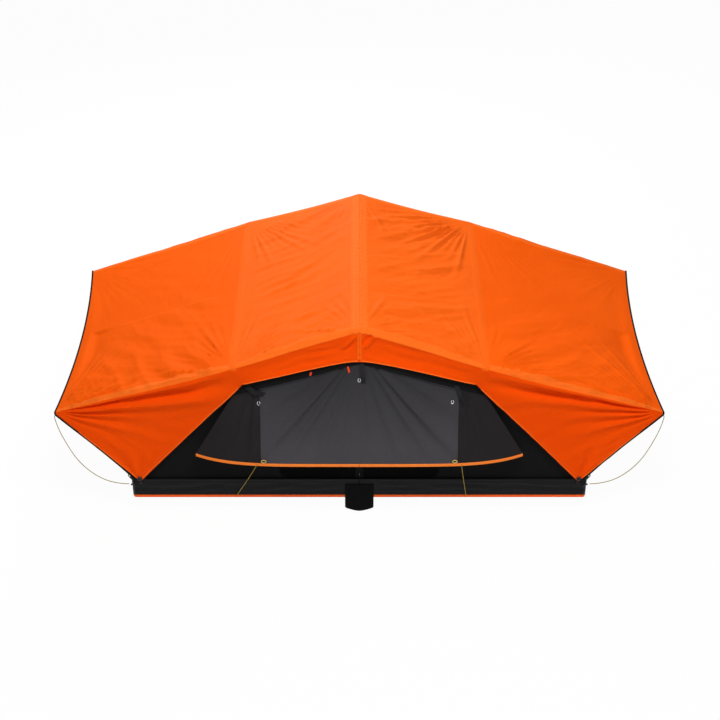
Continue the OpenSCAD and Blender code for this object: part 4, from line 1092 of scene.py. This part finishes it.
def awning_grid(side, seed):
    """Points of one awning half with its wings, folds and creases, from hem to hem."""
    corner_u = (wing_x - knee_line) / (tip_x - knee_line)
    steps = np.concatenate([np.linspace(0, corner_u, corner_row + 1), np.linspace(corner_u, 1, 44)[1:]])
    p = np.stack([awning_section(u) for u in steps])
    u = steps[:, None] * np.ones(p.shape[1])[None]
    x, y, z = p[..., 0], p[..., 1], p[..., 2]
    line = tip_z + (tip_x - x) * (bow_top - tip_z) / (tip_x - bow_line)
    below = np.clip((line - z) / 30, 0, 1)
    from_tip = np.hypot(tip_x - x, np.where(below > 0, tip_z - z, tip_y - np.abs(y))) / 1000
    grow = ease(from_tip, 0.02, 0.14)
    fade = 1 - ease(from_tip, 0.22, 0.62)
    reach = 1 - 0.85 * ease(from_tip, 0.6, 0.98)
    # Wing: a sharp rise and a valley beside the tip's edge, and lesser creases below them
    turn = np.arctan2(line - z, tip_x - x + 1)
    first, second = 16 - 12 * (y > 0), 20 if side < 0 else 9
    strong = bells(turn, (first, 0.035, 0.03), (-32, 0.105, 0.04), (second, 0.19, 0.045))
    lesser = bells(turn, (-12, 0.28, 0.035), (9, 0.36, 0.035), (-9, 0.46, 0.04), (8, 0.56, 0.04),
                   (-6, 0.68, 0.05))
    w = below * grow * (strong * reach + lesser * fade)
    w = w + below * 6 * creases(turn * 420, from_tip * 1000, 60, 900, seed) * ease(from_tip, 0.1, 0.4)
    # Slack belly of the wing, and folds drawn to its lower corner
    to_corner = np.hypot(x - wing_x, z - wing_z) / 1000
    lean = np.arctan2(z - wing_z, x - wing_x)
    near_corner = ease(to_corner, 0.03, 0.1) * (1 - ease(to_corner, 0.12, 0.34))
    w = w + below * 4 * np.sin(lean * 11 + seed) * near_corner
    depth = np.clip((line - z) / np.maximum(line - wing_z, 60), 0, 1)
    w = w - below * 12 * np.sin(np.pi * np.clip(u * 1.05, 0, 1)) * np.sin(np.pi * depth)
    # Upper panel: creases from the tip, and slanting folds across it
    spread = np.arctan2(tip_y - np.abs(y), tip_x - x + 1)
    from_tip_creases = bells(spread, (12, 0.07, 0.04), (-12, 0.16, 0.04), (9, 0.26, 0.05), (-7, 0.38, 0.05))
    w = w + (1 - below) * grow * fade * from_tip_creases
    back = np.where(y > 0, 1.0, 0.0)
    bow_fan = fan(x - bow_line, fly_half + 2 - np.abs(y), 0.05, 1.45, 640 + 360 * back, seed + 9, 13)
    tip_fan = fan(tip_x - x, tip_y + 6 - np.abs(y), 0.10, 1.30, 820, seed + 10, 11)
    w = w + (1 - below) * ((20 + 10 * back) * bow_fan + 21 * tip_fan)
    slant = 0.9 if side < 0 else 0.7
    a, b = turned_axes(x, y, slant)
    w = w + (1 - below) * np.sin(np.pi * np.clip(u * 0.97 + 0.02, 0, 1)) * (
        12 * drawn_folds(b, a, 200, 860, seed + 2) + 16 * creases(b, a, 130, 1300, seed + 4)
        + 8 * creases(b + 0.25 * a, a, 100, 1000, seed + 5) + 5 * creases(b - 0.2 * a, a, 62, 800, seed + 6))
    edge = fly_half + (tip_y - fly_half) * u
    w = w * np.where(below > 0, 1 - 0.8 * back, ease(edge - np.abs(y), 55 * back - 25, 60 + 340 * back))
    p = lifted(p, w * np.minimum(1, 9 * u + 0.05) * np.minimum(1, 14 * (1 - u)), (700, 0, 300))
    return p * (side, 1, 1)


def swing_in(piece, side, half):
    """Rides the awning rods, with a mesh of its own."""
    inward = np.array([-side * math.sin(rod_angle), 0, math.cos(rod_angle)])
    between_bows = np.array([side * rod_pivot[0], 0, rod_pivot[1]]) - 2.5 * inward
    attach(piece, half + "_rods")
    tuple(at_fold(between_bows))
    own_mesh(piece)


for side, half in halves:
    p = awning_grid(side, 31 if side < 0 else 47)
    inside = (side * 700, 0, 300)
    # The awning takes darker copies of the cloth on its slopes and below its soft edges, as painted shade,
    # and the lighter copy on its rolled edges, as a painted highlight.
    awning = sewn_cloth("fly_awning_%s_cloth" % half, p, cloth_thick, [fly_awning, fly_shaded_side, fly_seam_and_highlight],
                        upright_faces(p, wing_hem_steps + 1), inside=inside)
    stand_for(awning, "fly_awning_" + half)
    swing_in(awning, side, half)
    # Black binding round the outer edge and the wing hems
    edges = [p[-1], p[corner_row:, 0], p[corner_row:, -1]]
    binding = trim("awning_binding_" + half, edges, 0.0052, tape_black)
    hems = [p[:corner_row + 1, j] - (0, 0, 2.5) for j in (0, -1)]
    hem_tape = trim("wing_hem_tape_" + half, hems, 0.003, tape_black)
    n, _ = grid_normals(p, inside)
    rows = [p[:, j] + n[:, j] * 0.9 for j in (3, -4)]
    thread = stitches("awning_stitches_" + half, rows, thread_orange)
    # The hem's fold is a tube in the brighter copy of the cloth, a painted highlight.
    folded = [p[2:-2, j] + n[2:-2, j] * 0.6 for j in (1, -2)]
    hem_fold = trim("wing_hem_folds_" + half, folded, 0.0026, hem_painted_highlight)
    # Toggle at the wing's lower corner: a moulded button with a hole, tied to the hem
    turn = np.linspace(0, 2 * np.pi, 29)
    button = columns(side * wing_x + 8.5 * np.cos(turn), -tip_y - 26, wing_z + 26 + 8.5 * np.sin(turn))
    toggles = trim("wing_toggles_" + half, both_faces(button), 0.0055, lug_plastic, sides=10)
    # Welt over the seam on the side bow, where the roof panel and the awning half are sewn together
    roof_lines = [even_steps(line[1:-1], welt_steps) for line in bow_seams[half][-3:]]
    own_lines = [even_steps(line[2:-2], welt_steps) for line in p[1:3]]
    strip = np.stack(roof_lines + own_lines)
    rise = np.array([0.3, 1.0, 1.3, 1.0, 0.3])[:, None] * np.ones(welt_steps)
    strip = lifted(strip, rise)
    # Where the welt runs down below the bow top it takes the darker copy of the cloth, as painted shade.
    on_side = (strip[1:, 1:, 2] < bow_top - 16).astype(int)
    welt = sewn_cloth("bow_seam_" + half, strip, 0.6, [fly_orange, fly_shaded_side], on_side)
    lie_on_ridge(welt)
    for piece in (binding, hem_tape, thread, hem_fold, toggles):
        swing_in(piece, side, half)

# Guy cords: thin yellow cords that hang slack from the fly's tips to the hooks at the base corners.
# Each is tied to the rod's end cap, and its points are those of the cord as it is seen to hang.
guy_points = [[1556, -697, 545], [1563, -697, 530], [1561, -697, 505], [1553, -698, 465], [1541, -699, 421],
              [1526, -700, 378], [1505, -701, 324], [1481, -702, 272], [1452, -703, 226], [1418, -704, 185],
              [1378, -705, 149], [1334, -706, 122], [1288, -707, 106], [1245, -708, 99], [1215, -709, 98]]
for side, half in halves:
    for face, label in front_back:
        line = smooth_route(guy_points, 90) * (side, face, 1)
        cord = yellow_cord("guy_cord_%s_%s" % (half, label), line, "guy_cords_" + half)
        swing_in(cord, side, half)

# Fold cover: a flap of doubled black fabric that hangs over the joint of the skirts at the fold.
# It is sewn to the fixed half's skirt, with a stitched edge and a blunt, shallow point.
cover_black = cloth_finish("cover_black", grey(0.002), grey(0.006), 0.7, 400, 0.0004, 3.0, 0.035)
cover_top, cover_low, cover_half = 89.0, -89.0, 76.0
drop = np.linspace(0, 1, 46)
z = cover_top + (cover_low - cover_top) * drop
wide = np.interp(z, [-89, -84, -70, -64, 89], [10, 34, 70, cover_half, cover_half])
w, v = cross_grid(np.linspace(-1, 1, 34), drop)
ripple = 1.6 * drawn_folds(w * wide, v * 180, 70, 240, 5) * v
cover = columns(w * wide, -(half_width + 1.7 + 4 * v * v + ripple * ease(v, 0.45, 0.8)), z)
for face, label in front_back:
    shown = cover * (1, face, 1)
    flap = sewn_cloth("fold_cover_" + label, shown, coated_thick, [cover_black])
    stand_for(flap, "fold_cover")
    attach(flap, "fixed_half")
    n, _ = grid_normals(shown)
    rim = np.concatenate([shown[2, :-3], shown[2:-2, -4], shown[-3, -4::-1]])
    rim_n = np.concatenate([n[2, :-3], n[2:-2, -4], n[-3, -4::-1]])
    thread = stitches("cover_stitches_" + label, [rim + rim_n * 1.1], webbing_black, 0.0006, 0.007, 0.005)
    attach(thread, "fixed_half")
